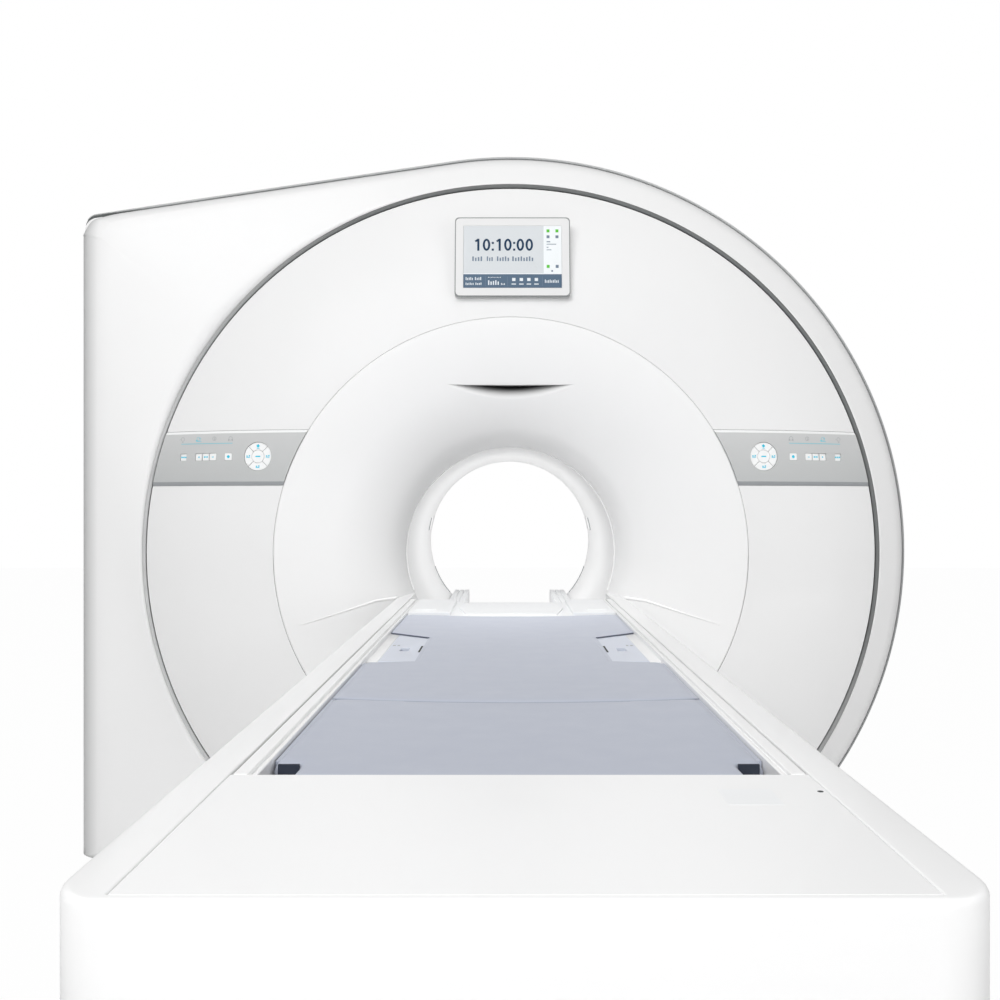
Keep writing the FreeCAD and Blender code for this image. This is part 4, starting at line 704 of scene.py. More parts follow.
@dataclass
class Gantry:
    """The covers: ring panels, front, funnel, trims, sides, roof and rear."""

    maker: Maker
    face: RingFace = field(default_factory=RingFace)
    wall: float = 0.006
    skin: float = 0.005
    steps: int = 288
    band_bottom: float = 0.187
    band_top: float = 0.338
    floor_gap: float = 0.028
    trim_width: float = 0.014
    outline_radius: float = 1.157
    left_wall: float = 1.25
    corner_radius: float = 0.038
    roof_slope: float = 8.4
    side_end: float = 62.0
    left_share: float = 0.2
    corner_share: float = 0.23
    roof_share: float = 0.4
    shoulder: float = 0.054
    left_shoulder: float = 0.080
    rear_inset: float = 0.014
    corner_drop: float = 0.022
    bore_radius: float = 0.300
    bore_half: float = 0.491
    lip_round: float = 0.120
    recess_depth: float = 0.565
    recess_half: float = 0.302
    crease_start: float = 0.310
    slot_half: float = 0.3222
    slot_foot: float = 0.5315
    vent_half: float = 0.176
    vent_top: float = 0.463
    vent_drop: float = 0.037
    vent_depth: float = 0.034

    def build(self) -> None:
        """Builds every cover."""
        self.ring_panels()
        self.trim_ring()
        self.funnel()
        self.front()
        self.edge_trim()
        self.plain_covers()

    def off_floor(self, bm: bmesh.types.BMesh, cap: bool = True) -> None:
        """Cuts a cover off a little above the floor."""
        keep_side(bm, Vector((0, 0, self.floor_gap)), DOWN, cap)

    def ring_panels(self) -> None:
        """The glossy ring panel above and below the control panels, as true arcs."""
        inner, outer = self.face.seam_radius + SEAM / 2, self.face.trim_radius - SEAM
        flange = self.face.at(outer) + 0.025
        back = self.face.arc(inner, outer - self.wall, -self.wall, 20)
        section = self.face.arc(inner, outer, 0, 26)
        section += [(flange, outer), (flange, outer - self.wall), *back[::-1]]
        upper = spun(section, self.steps)
        keep_side(upper, Vector((0, 0, ISO + self.band_top + SEAM / 2)), DOWN)
        node = "ring_panel_upper"
        piece = self.maker.piece("ring_upper_skin", upper, Look.RING, node, [node])
        carve(piece, [Display.block(SEAM / 2)])
        shade_smooth(piece.data)
        Rounding(0.0012, 2, 50).add(piece)
        lower = spun(section, self.steps)
        keep_side(lower, Vector((0, 0, ISO + self.band_bottom - SEAM / 2)), UP)
        self.off_floor(lower)
        self.maker.piece("ring_lower_skin", lower, Look.RING, "ring_panel_lower", ["ring_panel_lower"],
                         Rounding(0.0012, 2, 50))

    def trim_ring(self) -> None:
        """The satin ring between ring panel and front cover: a rounded bead with a dark inner gap."""
        inner, width, front = self.face.trim_radius, self.trim_width, self.face.trim_depth
        runs, gap_width = 10, 0.0028
        crown = [(-front + 0.001 - 0.0035 * math.sin(math.pi * step / runs),
                  inner + gap_width + (width - 0.0034) * step / runs) for step in range(runs + 1)]
        section = [(-front + 0.014, inner + gap_width)] + crown + [(-front + 0.014, inner + width - 0.0006)]
        bead = spun(section, self.steps)
        self.off_floor(bead)
        # The bead's finish darkens towards the upper right as painted reflection.
        self.maker.piece("trim_ring_bead", bead, Look.RING_TRIM, "trim_ring", ["trim_ring"])
        gap = spun([(-front + 0.010, inner), (-front + 0.010, inner + width), (-front + 0.016, inner + width),
                    (-front + 0.016, inner)], self.steps)
        self.off_floor(gap)
        self.maker.piece("trim_ring_gap", gap, Look.GAP, "trim_ring")

    def bell(self, radius: float) -> float:
        """Where the bell mouth's face lies along the bore at a radius."""
        seam = self.face.seam_radius - SEAM / 2
        run, rise = seam - self.bore_radius - self.lip_round, self.face.seam_depth - self.bore_half
        crest = (run ** 2 + rise ** 2 - self.lip_round ** 2) / (2 * (rise - self.lip_round))
        turn = math.asin(run / (crest - self.lip_round))
        if radius >= seam - crest * math.sin(turn):
            return -(self.face.seam_depth - crest) - math.sqrt(crest ** 2 - (seam - radius) ** 2)
        reach = self.bore_radius + self.lip_round - radius
        return -self.bore_half - math.sqrt(max(self.lip_round ** 2 - reach ** 2, 0))

    def recess(self, x: float) -> float:
        """How deep the table's recess is at a distance beside the middle."""
        if x <= self.recess_half:
            return -self.recess_depth
        if x < self.crease_start:
            end = self.bell(math.hypot(self.crease_start, self.crease_height(self.crease_start)))
            part = (x - self.recess_half) / (self.crease_start - self.recess_half)
            return -self.recess_depth + (end + self.recess_depth) * part
        return self.bell(math.hypot(x, self.crease_height(x)))

    @staticmethod
    def crease_height(x: float) -> float:
        """The height about the isocentre at which the bell turns into the recess, beside the middle."""
        if x < 0.372:
            return -0.124 - 0.006 * (x - 0.310) / 0.062
        return -0.130 - 0.060 * (x - 0.372) / 0.194

    @staticmethod
    def deeper(a: float, b: float, blend: float) -> float:
        """The deeper of two surfaces, with the crease between them rounded."""
        near = max(blend - abs(a - b), 0) / blend
        return max(a, b) + near * near * blend / 4

    def funnel_depth(self, x: float, z: float) -> float:
        """The funnel's face at x and z about the isocentre, with the table's recess and the vent's scoop."""
        bell = self.bell(math.hypot(x, z))
        if z < 0:
            recess = self.recess(abs(x))
            if abs(x) > self.slot_half:
                fade = min(max((-z - 0.325) / 0.06, 0), 1)
                recess += (bell - recess) * fade * fade * (3 - 2 * fade)
            elif z < -self.slot_foot:
                recess = bell
            bell = self.deeper(bell, recess, 0.005)
        return bell + self.vent_depth * self.vent(x, z) ** 1.4

    def vent(self, x: float, z: float) -> float:
        """The share of the vent's full depth: none at its curved lower edge, all under its straight top."""
        reach = self.vent_drop * (1 - (x / self.vent_half) ** 2)
        if reach <= 0 or not self.vent_top - reach < z < self.vent_top - 0.0004:
            return 0.0
        return (z - self.vent_top + reach) / self.vent_drop

    def near_vent(self, point: Vector) -> bool:
        """Whether a point lies by the air vent."""
        return abs(point.x) < self.vent_half + 0.004 and 0 < ISO + self.vent_top + 0.006 - point.z < 0.05

    def funnel(self) -> None:
        """The flared mouth of the bore, as true arcs, with a soft crease where the table's recess begins."""
        seam = self.face.seam_radius - SEAM / 2
        near, reach = 0.35, 0.43

        def place(u: float, v: float) -> Vector:
            """A point of the plain bell: u goes round it, v from the lip to the seam."""
            angle = math.tau * u
            turn = math.pi / 2 * (1 - v / near) if v < near else 0
            radius = self.bore_radius + self.lip_round * (1 - math.sin(turn)) * reach
            if v >= near:
                radius += (seam - radius) * (v - near) / (1 - near)
            return Vector((radius * math.sin(angle), self.bell(radius), ISO + radius * math.cos(angle)))

        bm = mapped_grid(480, 96, place)
        for x in (-0.3226, -0.3218, 0.3218, 0.3226):
            score(bm, Vector((x, 0, 0)), Vector((1, 0, 0)), lambda p: p.z < ISO - 0.3)
        for z in (-0.5311, -0.5319):
            score(bm, Vector((0, 0, ISO + z)), UP, lambda p: abs(p.x) < 0.33 and p.z < ISO)
        for z in (self.vent_top, self.vent_top - 0.0006):
            score(bm, Vector((0, 0, ISO + z)), UP, self.near_vent)
        scoop = [face for face in bm.faces if self.near_vent(face.calc_center_median())]
        finer = {edge for face in scoop for edge in face.edges}
        bmesh.ops.subdivide_edges(bm, edges=list(finer), cuts=2, use_grid_fill=True)
        # The vent layer holds painted shade: the dark of the vent's slot under its top, and the darkening
        # towards the bore's lip.
        dark = bm.verts.layers.float.new("vent")
        for vert in bm.verts:
            x, z = vert.co.x, vert.co.z - ISO
            vert.co.y = max(self.funnel_depth(x, z), self.bell(math.hypot(x, z)))
            vert[dark] = min(1.25 * self.vent(x, z) ** 1.2 + self.lip_shade(x, z), 1)
        face_towards(bm, TO_FRONT)
        piece = self.maker.piece("funnel_skin", bm, Look.FUNNEL, "funnel_bezel", ["funnel_bezel"], smooth=50)
        shell(piece, self.skin)
        for side, sign in SIDES.items():
            self.crease(side, sign)

    @staticmethod
    def lip_shade(x: float, z: float) -> float:
        """How much painted shade darkens the funnel towards the bore's lip, most at the left and the top."""
        radius = math.hypot(x, z)
        near = max(1 - (radius - 0.300) / 0.190, 0)
        side = max((0.85 * -x + 0.55 * z) / radius, 0)
        return 0.22 * near ** 1.3 * side

    def crease(self, side: str, sign: int) -> None:
        """A strip of painted highlight where the bell turns into the table's recess."""

        def place(u: float, v: float) -> Vector:
            """A point of the thin edge: u runs outwards, v across it."""
            x = 0.316 + 0.250 * u
            z = self.crease_height(x) + 0.0080 * (1 - 0.8 * u) * (v - 0.5)
            return Vector((sign * x, self.funnel_depth(x, z) - 0.0016, ISO + z))

        bm = mapped_grid(60, 2, place)
        face_towards(bm, TO_FRONT)
        piece = self.maker.piece(f"funnel_crease_{side}", bm, Look.BRIGHT, "funnel_bezel", smooth=80)
        shell(piece, 0.0012)

    def outline(self, inset: float, left_inset: float, t: float) -> Point:
        """The gantry seen along the bore, moved in by an inset.

        Args:
            inset: How far the roof and the round side are moved in.
            left_inset: How far the flat left wall is moved in.
            t: From 0 at the left wall's foot, over the roof, to 1 at the round side's foot.

        Returns:
            The point as x and height about the isocentre.
        """
        slope, under, corner = math.radians(self.roof_slope), math.radians(self.side_end), self.corner_radius
        radius, left = self.outline_radius - inset, -(self.left_wall - left_inset)
        middle_x = left + corner
        middle_z = (radius - corner + middle_x * math.sin(slope)) / math.cos(slope)
        if t < self.left_share:
            low = -radius * math.sin(under)
            return left, low + (middle_z - low) * t / self.left_share
        if t < self.corner_share:
            part = (t - self.left_share) / (self.corner_share - self.left_share)
            angle = math.pi - (math.pi / 2 - slope) * part
            return middle_x + corner * math.cos(angle), middle_z + corner * math.sin(angle)
        if t < self.roof_share:
            start = (middle_x - corner * math.sin(slope), middle_z + corner * math.cos(slope))
            end = (-radius * math.sin(slope), radius * math.cos(slope))
            part = (t - self.corner_share) / (self.roof_share - self.corner_share)
            return start[0] + (end[0] - start[0]) * part, start[1] + (end[1] - start[1]) * part
        part = (t - self.roof_share) / (1 - self.roof_share)
        angle = math.pi / 2 + slope - (math.pi / 2 + slope + under) * part
        return radius * math.cos(angle), radius * math.sin(angle)

    def ring_point(self, radius: float, t: float) -> Point:
        """The ring's circle at the same share of the way round as the outline."""
        stops = ((0, 242), (self.left_share, 143), (self.corner_share, 141),
                 (self.roof_share, 90 + self.roof_slope), (1, -self.side_end))
        angle = -self.side_end
        for (t0, a0), (t1, a1) in zip(stops, stops[1:]):
            if t <= t1:
                angle = a0 + (a1 - a0) * (t - t0) / (t1 - t0)
                break
        return radius * math.cos(math.radians(angle)), radius * math.sin(math.radians(angle))

    def front(self) -> None:
        """The front cover: a softly domed face with a rounded shoulder all round."""
        ring = self.face.trim_radius + self.trim_width + SEAM
        share = 0.45

        def place(u: float, v: float) -> Vector:
            """u goes round the outline, v from the ring to the cover's rear edge."""
            inner = self.ring_point(ring, u)
            corner = max(1 - abs(u - 0.208) / (0.016 if u < 0.208 else 0.035), 0)
            corner = self.corner_drop * corner * corner * (3 - 2 * corner)
            if v <= share:
                part = v / share
                outer = self.outline(self.shoulder + corner, self.left_shoulder, u)
                x, z = (a + (b - a) * part for a, b in zip(inner, outer))
                return Vector((x, -0.566 + 0.051 * part, ISO + z))
            part = (v - share) / (1 - share)
            inset = self.shoulder + (self.rear_inset - self.shoulder) * (1 - (1 - part) ** 2)
            left = self.left_shoulder * (1 - part) ** 2
            depth = -0.515 * (1 - part) ** 2 - 0.480 * 2 * part * (1 - part) - 0.437 * part ** 2
            x, z = self.outline(inset + corner, left, u)
            return Vector((x, depth, ISO + z))

        bm = mapped_grid(400, 22, place)
        self.off_floor(bm, cap=False)
        face_towards(bm, TO_FRONT)
        # Its finish darkens towards the far left edge as painted shade.
        piece = self.maker.piece("front_skin", bm, Look.FRONT, "front_cover", ["front_cover"], smooth=60)
        shell(piece, self.skin)

    def edge_trim(self) -> None:
        """The strip round roof and right side: a dark groove inside a light outer bead."""
        begin, bead_begin, around = 0.192, 0.212, 360

        def bead(u: float, v: float) -> Vector:
            """The bead's rounded section, carried along the outline."""
            turn = math.tau * v
            taper = min(0.1 + u / 0.06, 1)
            inset = 0.0045 * taper * (1 + math.cos(turn))
            x, z = self.outline(inset, inset, bead_begin + (1 - bead_begin) * u)
            return Vector((x, -0.431 + 0.011 * taper * math.sin(turn), ISO + z))

        def groove(u: float, v: float) -> Vector:
            """The groove's floor, inside the bead, wider where it begins round the corner."""
            near = max(1 - u / 0.05, 0)
            inset = 0.006 * (1 - near) + (0.013 + 0.016 * near) * v
            x, z = self.outline(inset, 0.002 + 0.003 * v, begin + (1 - begin) * u)
            return Vector((x, -0.434, ISO + z))

        strip = mapped_grid(around, 12, bead)
        self.off_floor(strip, cap=False)
        bmesh.ops.holes_fill(strip, edges=strip.edges, sides=0)
        bmesh.ops.recalc_face_normals(strip, faces=strip.faces)
        # The bead's finish is paler towards the top as painted highlight.
        self.maker.piece("edge_bead", strip, Look.EDGE_TRIM, "edge_trim", ["edge_trim"])
        strip = mapped_grid(around, 1, groove)
        self.off_floor(strip, cap=False)
        face_towards(strip, TO_FRONT)
        shell(self.maker.piece("edge_groove", strip, Look.GROOVE, "edge_trim"), 0.003)

    def plain_covers(self) -> None:
        """Sides, roof, rear and bore, as softened copies."""
        for node in ("side_cover_left", "roof_cover"):
            self.maker.dressed(node, Look.COVER, Rounding(0.0015))
        self.maker.dressed("rear_cover", Look.COVER, Rounding(0.004, 3, 40), 40)
        self.maker.dressed("bore_tube", Look.BORE, Rounding(0.001))
        for side, sign in SIDES.items():
            self.maker.dressed(f"bore_rail_{side}", Look.DECK, Rounding(0.001))
            self.rear_places(side, sign)
        # A thin ring at the bore's lip: its front face catches the lamps, and its paler white adds painted
        # highlight.
        lip = self.bore_radius
        ring = spun([(-0.4965, lip - 0.0024), (-0.4965, lip + 0.0010), (-0.484, lip + 0.0010),
                     (-0.484, lip - 0.0024)], self.steps)
        keep_side(ring, Vector((0, 0, ISO - 0.110)), DOWN)
        self.maker.piece("bore_lip", ring, Look.BRIGHT, "bore_tube")

    def rear_places(self, side: str, sign: int) -> None:
        """Flat sheets just inside the bore near its rear end: a paler sheet that paints a lit recess, which is
        not modelled, a grey strip along its front edge as painted shade, and the dark joint below it.
        """
        radius = self.bore_radius - 0.0008
        places = (("pocket", Look.BRIGHT, 0.366, 0.486, 8.5, 17.5),
                  ("pocket_edge", Look.FAINT, 0.330, 0.366, 8.0, 17.0),
                  ("joint", Look.FAINT, 0.462, 0.486, -41.0, -19.0))
        for name, look, start, end, low, high in places:
            def place(u: float, v: float) -> Vector:
                """A point just inside the bore's wall."""
                angle = math.radians(low + (high - low) * u)
                return Vector((sign * radius * math.cos(angle), start + (end - start) * v,
                               ISO + radius * math.sin(angle)))

            bm = mapped_grid(12, 1, place)
            face_towards(bm, Vector((-sign, 0, 0)))
            piece = self.maker.piece(f"bore_{name}_{side}", bm, look, "bore_tube")
            shell(piece, 0.0006)


# ---------------------------------------------------------------- controls

@dataclass
class Controls:
    """The two silver control panels with their keys, print and marks."""

    maker: Maker
    face: RingFace = field(default_factory=RingFace)
    proud: float = 0.004
    thickness: float = 0.018
    bottom: float = 0.187
    top: float = 0.338
    top_slope: float = 0.007
    foot_slope: float = 0.0105
    key_row: float = 0.266
    key_width: float = 0.0205
    key_height: float = 0.019
    key_proud: float = 0.0016
    dial_radius: float = 0.0387
    core_radius: float = 0.0176
    dial_x: float = 0.6866
    outer_x: float = 0.906
    inner_x: float = 0.771
    rocker_x: float = 0.838
    rocker_step: float = 0.0213

    def build(self) -> None:
        """Builds both panels and their keys."""
        for side, sign in SIDES.items():
            self.panel(side, sign)
            self.keys(side, sign)
            self.print_row(side, sign)

    def frame_at(self, x: float, z: float) -> Matrix:
        """The key's own frame on the CAD panel: X level to the right, Y up the face, Z out of it."""
        radius = math.hypot(x, z)
        inner, outer = self.face.seam_radius + SEAM / 2, self.face.trim_radius - SEAM
        corners = self.face.arc(inner, outer, self.proud, 2)
        (y0, r0), (y1, r1) = [p for p in zip(corners, corners[1:]) if p[0][1] <= radius <= p[1][1]][0]
        slope = (y1 - y0) / (r1 - r0)
        normal = Vector((slope * x / radius, -1, slope * z / radius)).normalized()
        level = Vector((0, 0, 1)).cross(normal).normalized()
        rows = Matrix((level, normal.cross(level), normal)).transposed().to_4x4()
        return Matrix.Translation((x, y0 + slope * (radius - r0), ISO + z)) @ rows

    def panel(self, side: str, sign: int) -> None:
        """One panel: a sloped upper edge in a paler copy of its silver as painted highlight, a sloped foot in a
        darker copy as painted shade, and a well for each key.
        """
        inner, outer = self.face.seam_radius + SEAM / 2, self.face.trim_radius - SEAM
        section = self.face.arc(inner, outer, self.proud, 24)
        section += self.face.arc(inner, outer, self.proud - self.thickness, 12)[::-1]
        bm = spun(section, 480)
        keep_side(bm, Vector((0, 0, 0)), Vector((-sign, 0, 0)), cap=False)
        low, high = ISO + self.bottom + SEAM / 2, ISO + self.top - SEAM / 2
        keep_side(bm, Vector((0, 0, low)), DOWN)
        keep_side(bm, Vector((0, 0, high)), UP)
        for z in (low + self.foot_slope, high - self.top_slope):
            score(bm, Vector((0, 0, z)), UP, lambda p: True)
        for vert in bm.verts:
            radius = math.hypot(vert.co.x, vert.co.z - ISO)
            if vert.co.y > self.face.at(min(radius, outer), self.proud) + 0.002:
                continue
            past = max((low + self.foot_slope - vert.co.z) / self.foot_slope,
                       (vert.co.z - high + self.top_slope) / self.top_slope, 0)
            vert.co.y += past * (self.proud + 0.001)
        name = f"control_panel_{side}"
        # The panel's silver darkens towards its lower edge as painted shade.
        piece = self.maker.piece(f"{name}_skin", bm, Look.PANEL, name, [name], smooth=20)
        carve(piece, self.wells(sign))
        shade_smooth(piece.data, 18)
        # Paler and darker copies of the silver: painted highlight on the upper slope, painted shade on the
        # foot.
        for look in (Look.PANEL_FOOT_SHADE, Look.PANEL_TOP_HIGHLIGHT):
            piece.data.materials.append(PAINTS[look])
        for polygon in piece.data.polygons:
            if polygon.normal.y < -0.3 and polygon.center.z < low + self.foot_slope:
                polygon.material_index = 1
            elif polygon.normal.y < -0.3 and polygon.center.z > high - self.top_slope:
                polygon.material_index = 2
        Rounding(0.0006, 1, 25).add(piece)

    def wells(self, sign: int) -> list[bmesh.types.BMesh]:
        """The cutters for the square keys' wells and the round pad's."""
        depth, gap, tall = 0.0067, 0.0008, 0.02
        sunk = Matrix.Translation((0, 0, tall / 2 - depth))
        cutters = [box_mesh((self.key_width + gap, self.key_height + gap, tall),
                            self.frame_at(sign * x, self.key_row) @ sunk) for x in self.key_places().values()]
        dial = bmesh.new()
        radius = self.dial_radius + gap / 2
        bmesh.ops.create_cone(dial, cap_ends=True, segments=72, radius1=radius, radius2=radius, depth=tall)
        place = self.frame_at(sign * self.dial_x, self.key_row) @ sunk
        bmesh.ops.transform(dial, matrix=place, verts=dial.verts)
        return cutters + [dial]

    def key_places(self) -> dict[str, float]:
        """How far beside the middle each square key lies."""
        return {"outer": self.outer_x, "inner": self.inner_x, "rocker_low": self.rocker_x - self.rocker_step,
                "rocker_mid": self.rocker_x, "rocker_high": self.rocker_x + self.rocker_step}

    def keys(self, side: str, sign: int) -> None:
        """The ten keys with softened edges, and a mark on each."""
        bar = Stamp.bar
        marks = {"outer": [bar(-0.0062, 0, 0.0048, 0.0042), bar(0, 0, 0.0046, 0.0042),
                           bar(0.0062, 0, 0.0048, 0.0042)],
                 "inner": [Stamp.disc(0, 0, 0.0042)],
                 "rocker_low": [bar(0, -0.0005, 0.0060, 0.0022)],
                 "rocker_mid": [bar(-0.0035, 0, 0.0058, 0.0040), bar(0.0040, 0, 0.0050, 0.0040)],
                 "rocker_high": [Stamp.disc(0, 0, 0.0022)]}
        for word, x in self.key_places().items():
            node = f"key_{word}_{side}"
            self.maker.dressed(node, Look.KEY, Rounding(0.0004, 2, 40))
            self.mark(node, self.frame_at(sign * x, self.key_row), marks[word])
        place = self.frame_at(sign * self.dial_x, self.key_row)
        reach = (self.dial_radius + self.core_radius) / 2
        for turn, word in ((0, "right"), (90, "up"), (180, "left"), (270, "down")):
            node = f"dial_{word}_{side}"
            self.maker.dressed(node, Look.KEY, Rounding(0.0006, 2, 60))
            x, y = reach * math.cos(math.radians(turn)), reach * math.sin(math.radians(turn))
            self.mark(node, place, self.arrow(x, y, turn))
        node = f"dial_core_{side}"
        self.maker.dressed(node, Look.KEY, Rounding(0.0006, 2, 60))
        self.mark(node, place, [bar(0, 0, 0.014, 0.0034)])

    @staticmethod
    def arrow(x: float, y: float, turn: float) -> list[bmesh.types.BMesh]:
        """A sign on the round pad: a diamond on the upper key, and a small bed with a dot on the others."""
        if turn == 90:
            return [Stamp.disc(x, y + 0.0006, 0.0052, 4), Stamp.bar(x, y - 0.0058, 0.0078, 0.0016)]
        return [Stamp.bar(x, y - 0.0022, 0.0104, 0.0022), Stamp.bar(x - 0.0030, y + 0.0012, 0.0040, 0.0030),
                Stamp.disc(x + 0.0036, y + 0.0018, 0.0021)]

    def mark(self, node: str, place: Matrix, shapes: Sequence[bmesh.types.BMesh]) -> None:
        """Lays flat shapes on a key's face as one piece.

        Args:
            node: The key.
            place: The key's own frame.
            shapes: Shapes in that frame, which are used up.
        """
        whole = Stamp.joined(shapes)
        above = Matrix.Translation((0, 0, self.key_proud + Stamp.THICK / 2))
        bmesh.ops.transform(whole, matrix=place @ above, verts=whole.verts)
        self.maker.piece(f"{node}_mark", whole, Look.CYAN, node)

    def print_row(self, side: str, sign: int) -> None:
        """The row of small signs and the cyan line over the keys, laid on the domed face."""
        bar, disc = Stamp.bar, Stamp.disc
        signs = (
            (0.911, Look.FAINT, [bar(0, -0.0074, 0.0035, 0.0022), bar(-0.0085, 0, 0.0030, 0.0012)]),
            (0.862, Look.CYAN_LINE, [disc(-0.0056, -0.0038, 0.0026), bar(0.0012, -0.0060, 0.0145, 0.0018),
                                     bar(0.0040, 0.0016, 0.0060, 0.0018)]),
            (0.814, Look.FAINT, [bar(0.0004, 0.0006, 0.0012, 0.0068), bar(0.0024, -0.0022, 0.0040, 0.0012)]),
            (0.766, Look.FAINT, [bar(-0.0054, -0.0036, 0.0026, 0.0052),
                                 bar(0.0054, -0.0036, 0.0026, 0.0052)]))
        marks = {Look.FAINT: [], Look.CYAN_LINE: []}
        for x, look, shapes in signs:
            shapes.append(Stamp.ring(0, 0.0008, 0.0056, 0.0056, 0.0011))
            for shape in shapes:
                bmesh.ops.translate(shape, vec=(sign * x, 0.3155, 0), verts=shape.verts)
            marks[look] += shapes
        line = bmesh.new()
        bmesh.ops.create_grid(line, x_segments=60, y_segments=1, size=0.5)
        for vert in line.verts:
            vert.co = Vector((sign * (0.8375 + vert.co.x * 0.155), 0.303 + vert.co.y * 0.0018, Stamp.THICK))
        marks[Look.CYAN_LINE].append(line)
        for look, shapes in marks.items():
            whole = Stamp.joined(shapes)
            for vert in whole.verts:
                radius = math.hypot(vert.co.x, vert.co.y)
                y = self.face.at(radius, self.proud) - Stamp.THICK / 2 - vert.co.z
                vert.co = Vector((vert.co.x, y, ISO + vert.co.y))
            bmesh.ops.recalc_face_normals(whole, faces=whole.faces)
            face_towards(whole, TO_FRONT)
            self.maker.piece(f"panel_print_{side}_{look.name.lower()}", whole, look, f"control_panel_{side}")


# ---------------------------------------------------------------- the status display

@dataclass
class Display:
    """The tilted status display and what its screen shows."""

    maker: Maker
    width: float = 0.266
    height: float = 0.175
    foot: float = 0.02375
    bar_top: float = 0.0382
    column: float = 0.0844

    OUTSIDE = (0.312, 0.2225)
    CORNER = 0.011
    TILT = 82.0

    @staticmethod
    def place() -> Matrix:
        """The display's own frame from its lower edge's middle: X right, Y up its face, Z out of it."""
        turned = Matrix.Rotation(math.radians(Display.TILT), 4, "X")
        return Matrix.Translation((0.0046, -0.690, ISO + 0.697)) @ turned

    @classmethod
    def block(cls, grow: float, depth: float = 0.30, rise: float = 0.0) -> bmesh.types.BMesh:
        """The housing's outside, grown all round, as a cutter or a plate of a depth."""
        wide, high = cls.OUTSIDE
        bm = box_mesh((wide + 2 * grow, high + 2 * grow, depth), Matrix.Translation((0, 0, rise)))
        upright = [edge for edge in bm.edges if abs((edge.verts[0].co - edge.verts[1].co).z) > depth / 2]
        bmesh.ops.bevel(bm, geom=upright, offset=cls.CORNER, segments=8, affect="EDGES", profile=0.5,
                        material=-1)
        bmesh.ops.transform(bm, matrix=cls.place() @ Matrix.Translation((0, high / 2, 0)), verts=bm.verts)
        return bm

    def build(self) -> None:
        """Builds the housing, the glass and the page on it."""
        self.maker.dressed("display_housing", Look.HOUSING, Rounding(0.0010, 2, 40))
        band = self.block(0.0004, 0.010, -0.0048)
        rim = self.maker.piece("display_rim", band, Look.HOUSING_EDGE, "display_housing")
        carve(rim, [self.block(-0.0021)])
        shade_smooth(rim.data)
        self.maker.dressed("display_screen", Look.SCREEN_SIDE)
        self.page()

    def page(self) -> None:
        """The clock page: ground, right column, foot bar, digits and plain marks."""
        half, ground = self.width / 2, self.bar_top + 0.0026
        self.area("page_ground", (-half, ground, self.column, self.height), Look.SCREEN)
        self.area("page_column", (self.column, ground, half, self.height), Look.SCREEN_SIDE)
        self.area("page_foot", (-half, 0, half, self.bar_top), Look.SCREEN_BAR)
        self.lay("page_clock", self.clock("10:10:00", 0.0340, (-0.1042, 0.1044)), Look.SCREEN_DIGIT)
        date = ((-0.1090, 0.0300, 4), (-0.0697, 0.0190, 3), (-0.0422, 0.0360, 5), (-0.0006, 0.0600, 8))
        self.marks("page_date", Look.SCREEN_WORD, [
            stroke for left, width, count in date
            for stroke in self.word(left, 0.0752, width, 0.0130, count)])
        near, far = 0.0925, 0.1168
        self.marks("page_lights", Look.SCREEN_GREEN, (
            (near, 0.1566, 0.0080, 0.0085), (far, 0.1566, 0.0080, 0.0085), (near, 0.0559, 0.0080, 0.0085)))
        self.marks("page_boxes", Look.SCREEN_WORD, (
            (near, 0.1400, 0.0080, 0.0080), (far, 0.1400, 0.0080, 0.0080), (far, 0.0559, 0.0080, 0.0085),
            (near, 0.1285, 0.0100, 0.0026), (near, 0.1220, 0.0260, 0.0018), (near, 0.1130, 0.0050, 0.0022),
            (near, 0.1060, 0.0130, 0.0018), (0.1050, 0.0450, 0.0045, 0.0045)))
        self.marks("page_rules", Look.SCREEN_WORD,
                   [(x, 0.0050, 0.0009, 0.0270) for x in (-0.0736, -0.0142, 0.0803)])
        middles = (0.0034, 0.0238, 0.0441, 0.0644)
        signs = [(x - 0.0045, 0.0190, 0.0090, 0.0085) for x in middles]
        feet = [(x - 0.0060, 0.0090, 0.0120, 0.0028) for x in middles]
        words = ((-0.1265, 0.0215, 0.0210, 0.0085, 5), (-0.1015, 0.0215, 0.0190, 0.0085, 4),
                 (-0.1265, 0.0080, 0.0230, 0.0065, 6), (-0.1000, 0.0080, 0.0180, 0.0065, 4),
                 (-0.0660, 0.0280, 0.0360, 0.0024, 9), (-0.0660, 0.0080, 0.0320, 0.0130, 5),
                 (-0.0310, 0.0080, 0.0120, 0.0050, 3), (0.0875, 0.0140, 0.0390, 0.0090, 9))
        strokes = [stroke for box in words for stroke in self.word(*box)]
        self.marks("page_words", Look.SCREEN_WHITE, (*strokes, *signs, *feet))

    @staticmethod
    def word(left: float, foot: float, width: float, height: float, count: int) -> list[tuple]:
        """Upright strokes that read as a small word from a distance.

        Args:
            left: The word's left end.
            foot: Its lower edge.
            width: Its width.
            height: Its height.
            count: Its strokes.

        Returns:
            The strokes as left, foot, width and height.
        """
        pitch = width / count
        return [(left + pitch * number, foot, pitch * 0.52, height * (1.0, 0.72, 0.84)[number % 3])
                for number in range(count)]

    def marks(self, name: str, look: Look, boxes: Sequence[tuple[float, float, float, float]]) -> None:
        """Several bars as one piece, each given by its left, its foot, its width and its height."""
        bars = [Stamp.bar(x + width / 2, y + height / 2, width, height) for x, y, width, height in boxes]
        self.lay(name, Stamp.joined(bars), look)

    def lay(self, name: str, bm: bmesh.types.BMesh, look: Look) -> None:
        """Lays flat shapes on the page."""
        above = Matrix.Translation((0, self.foot, -0.0003))
        bmesh.ops.transform(bm, matrix=self.place() @ above, verts=bm.verts)
        self.maker.piece(name, bm, look, "display_screen")

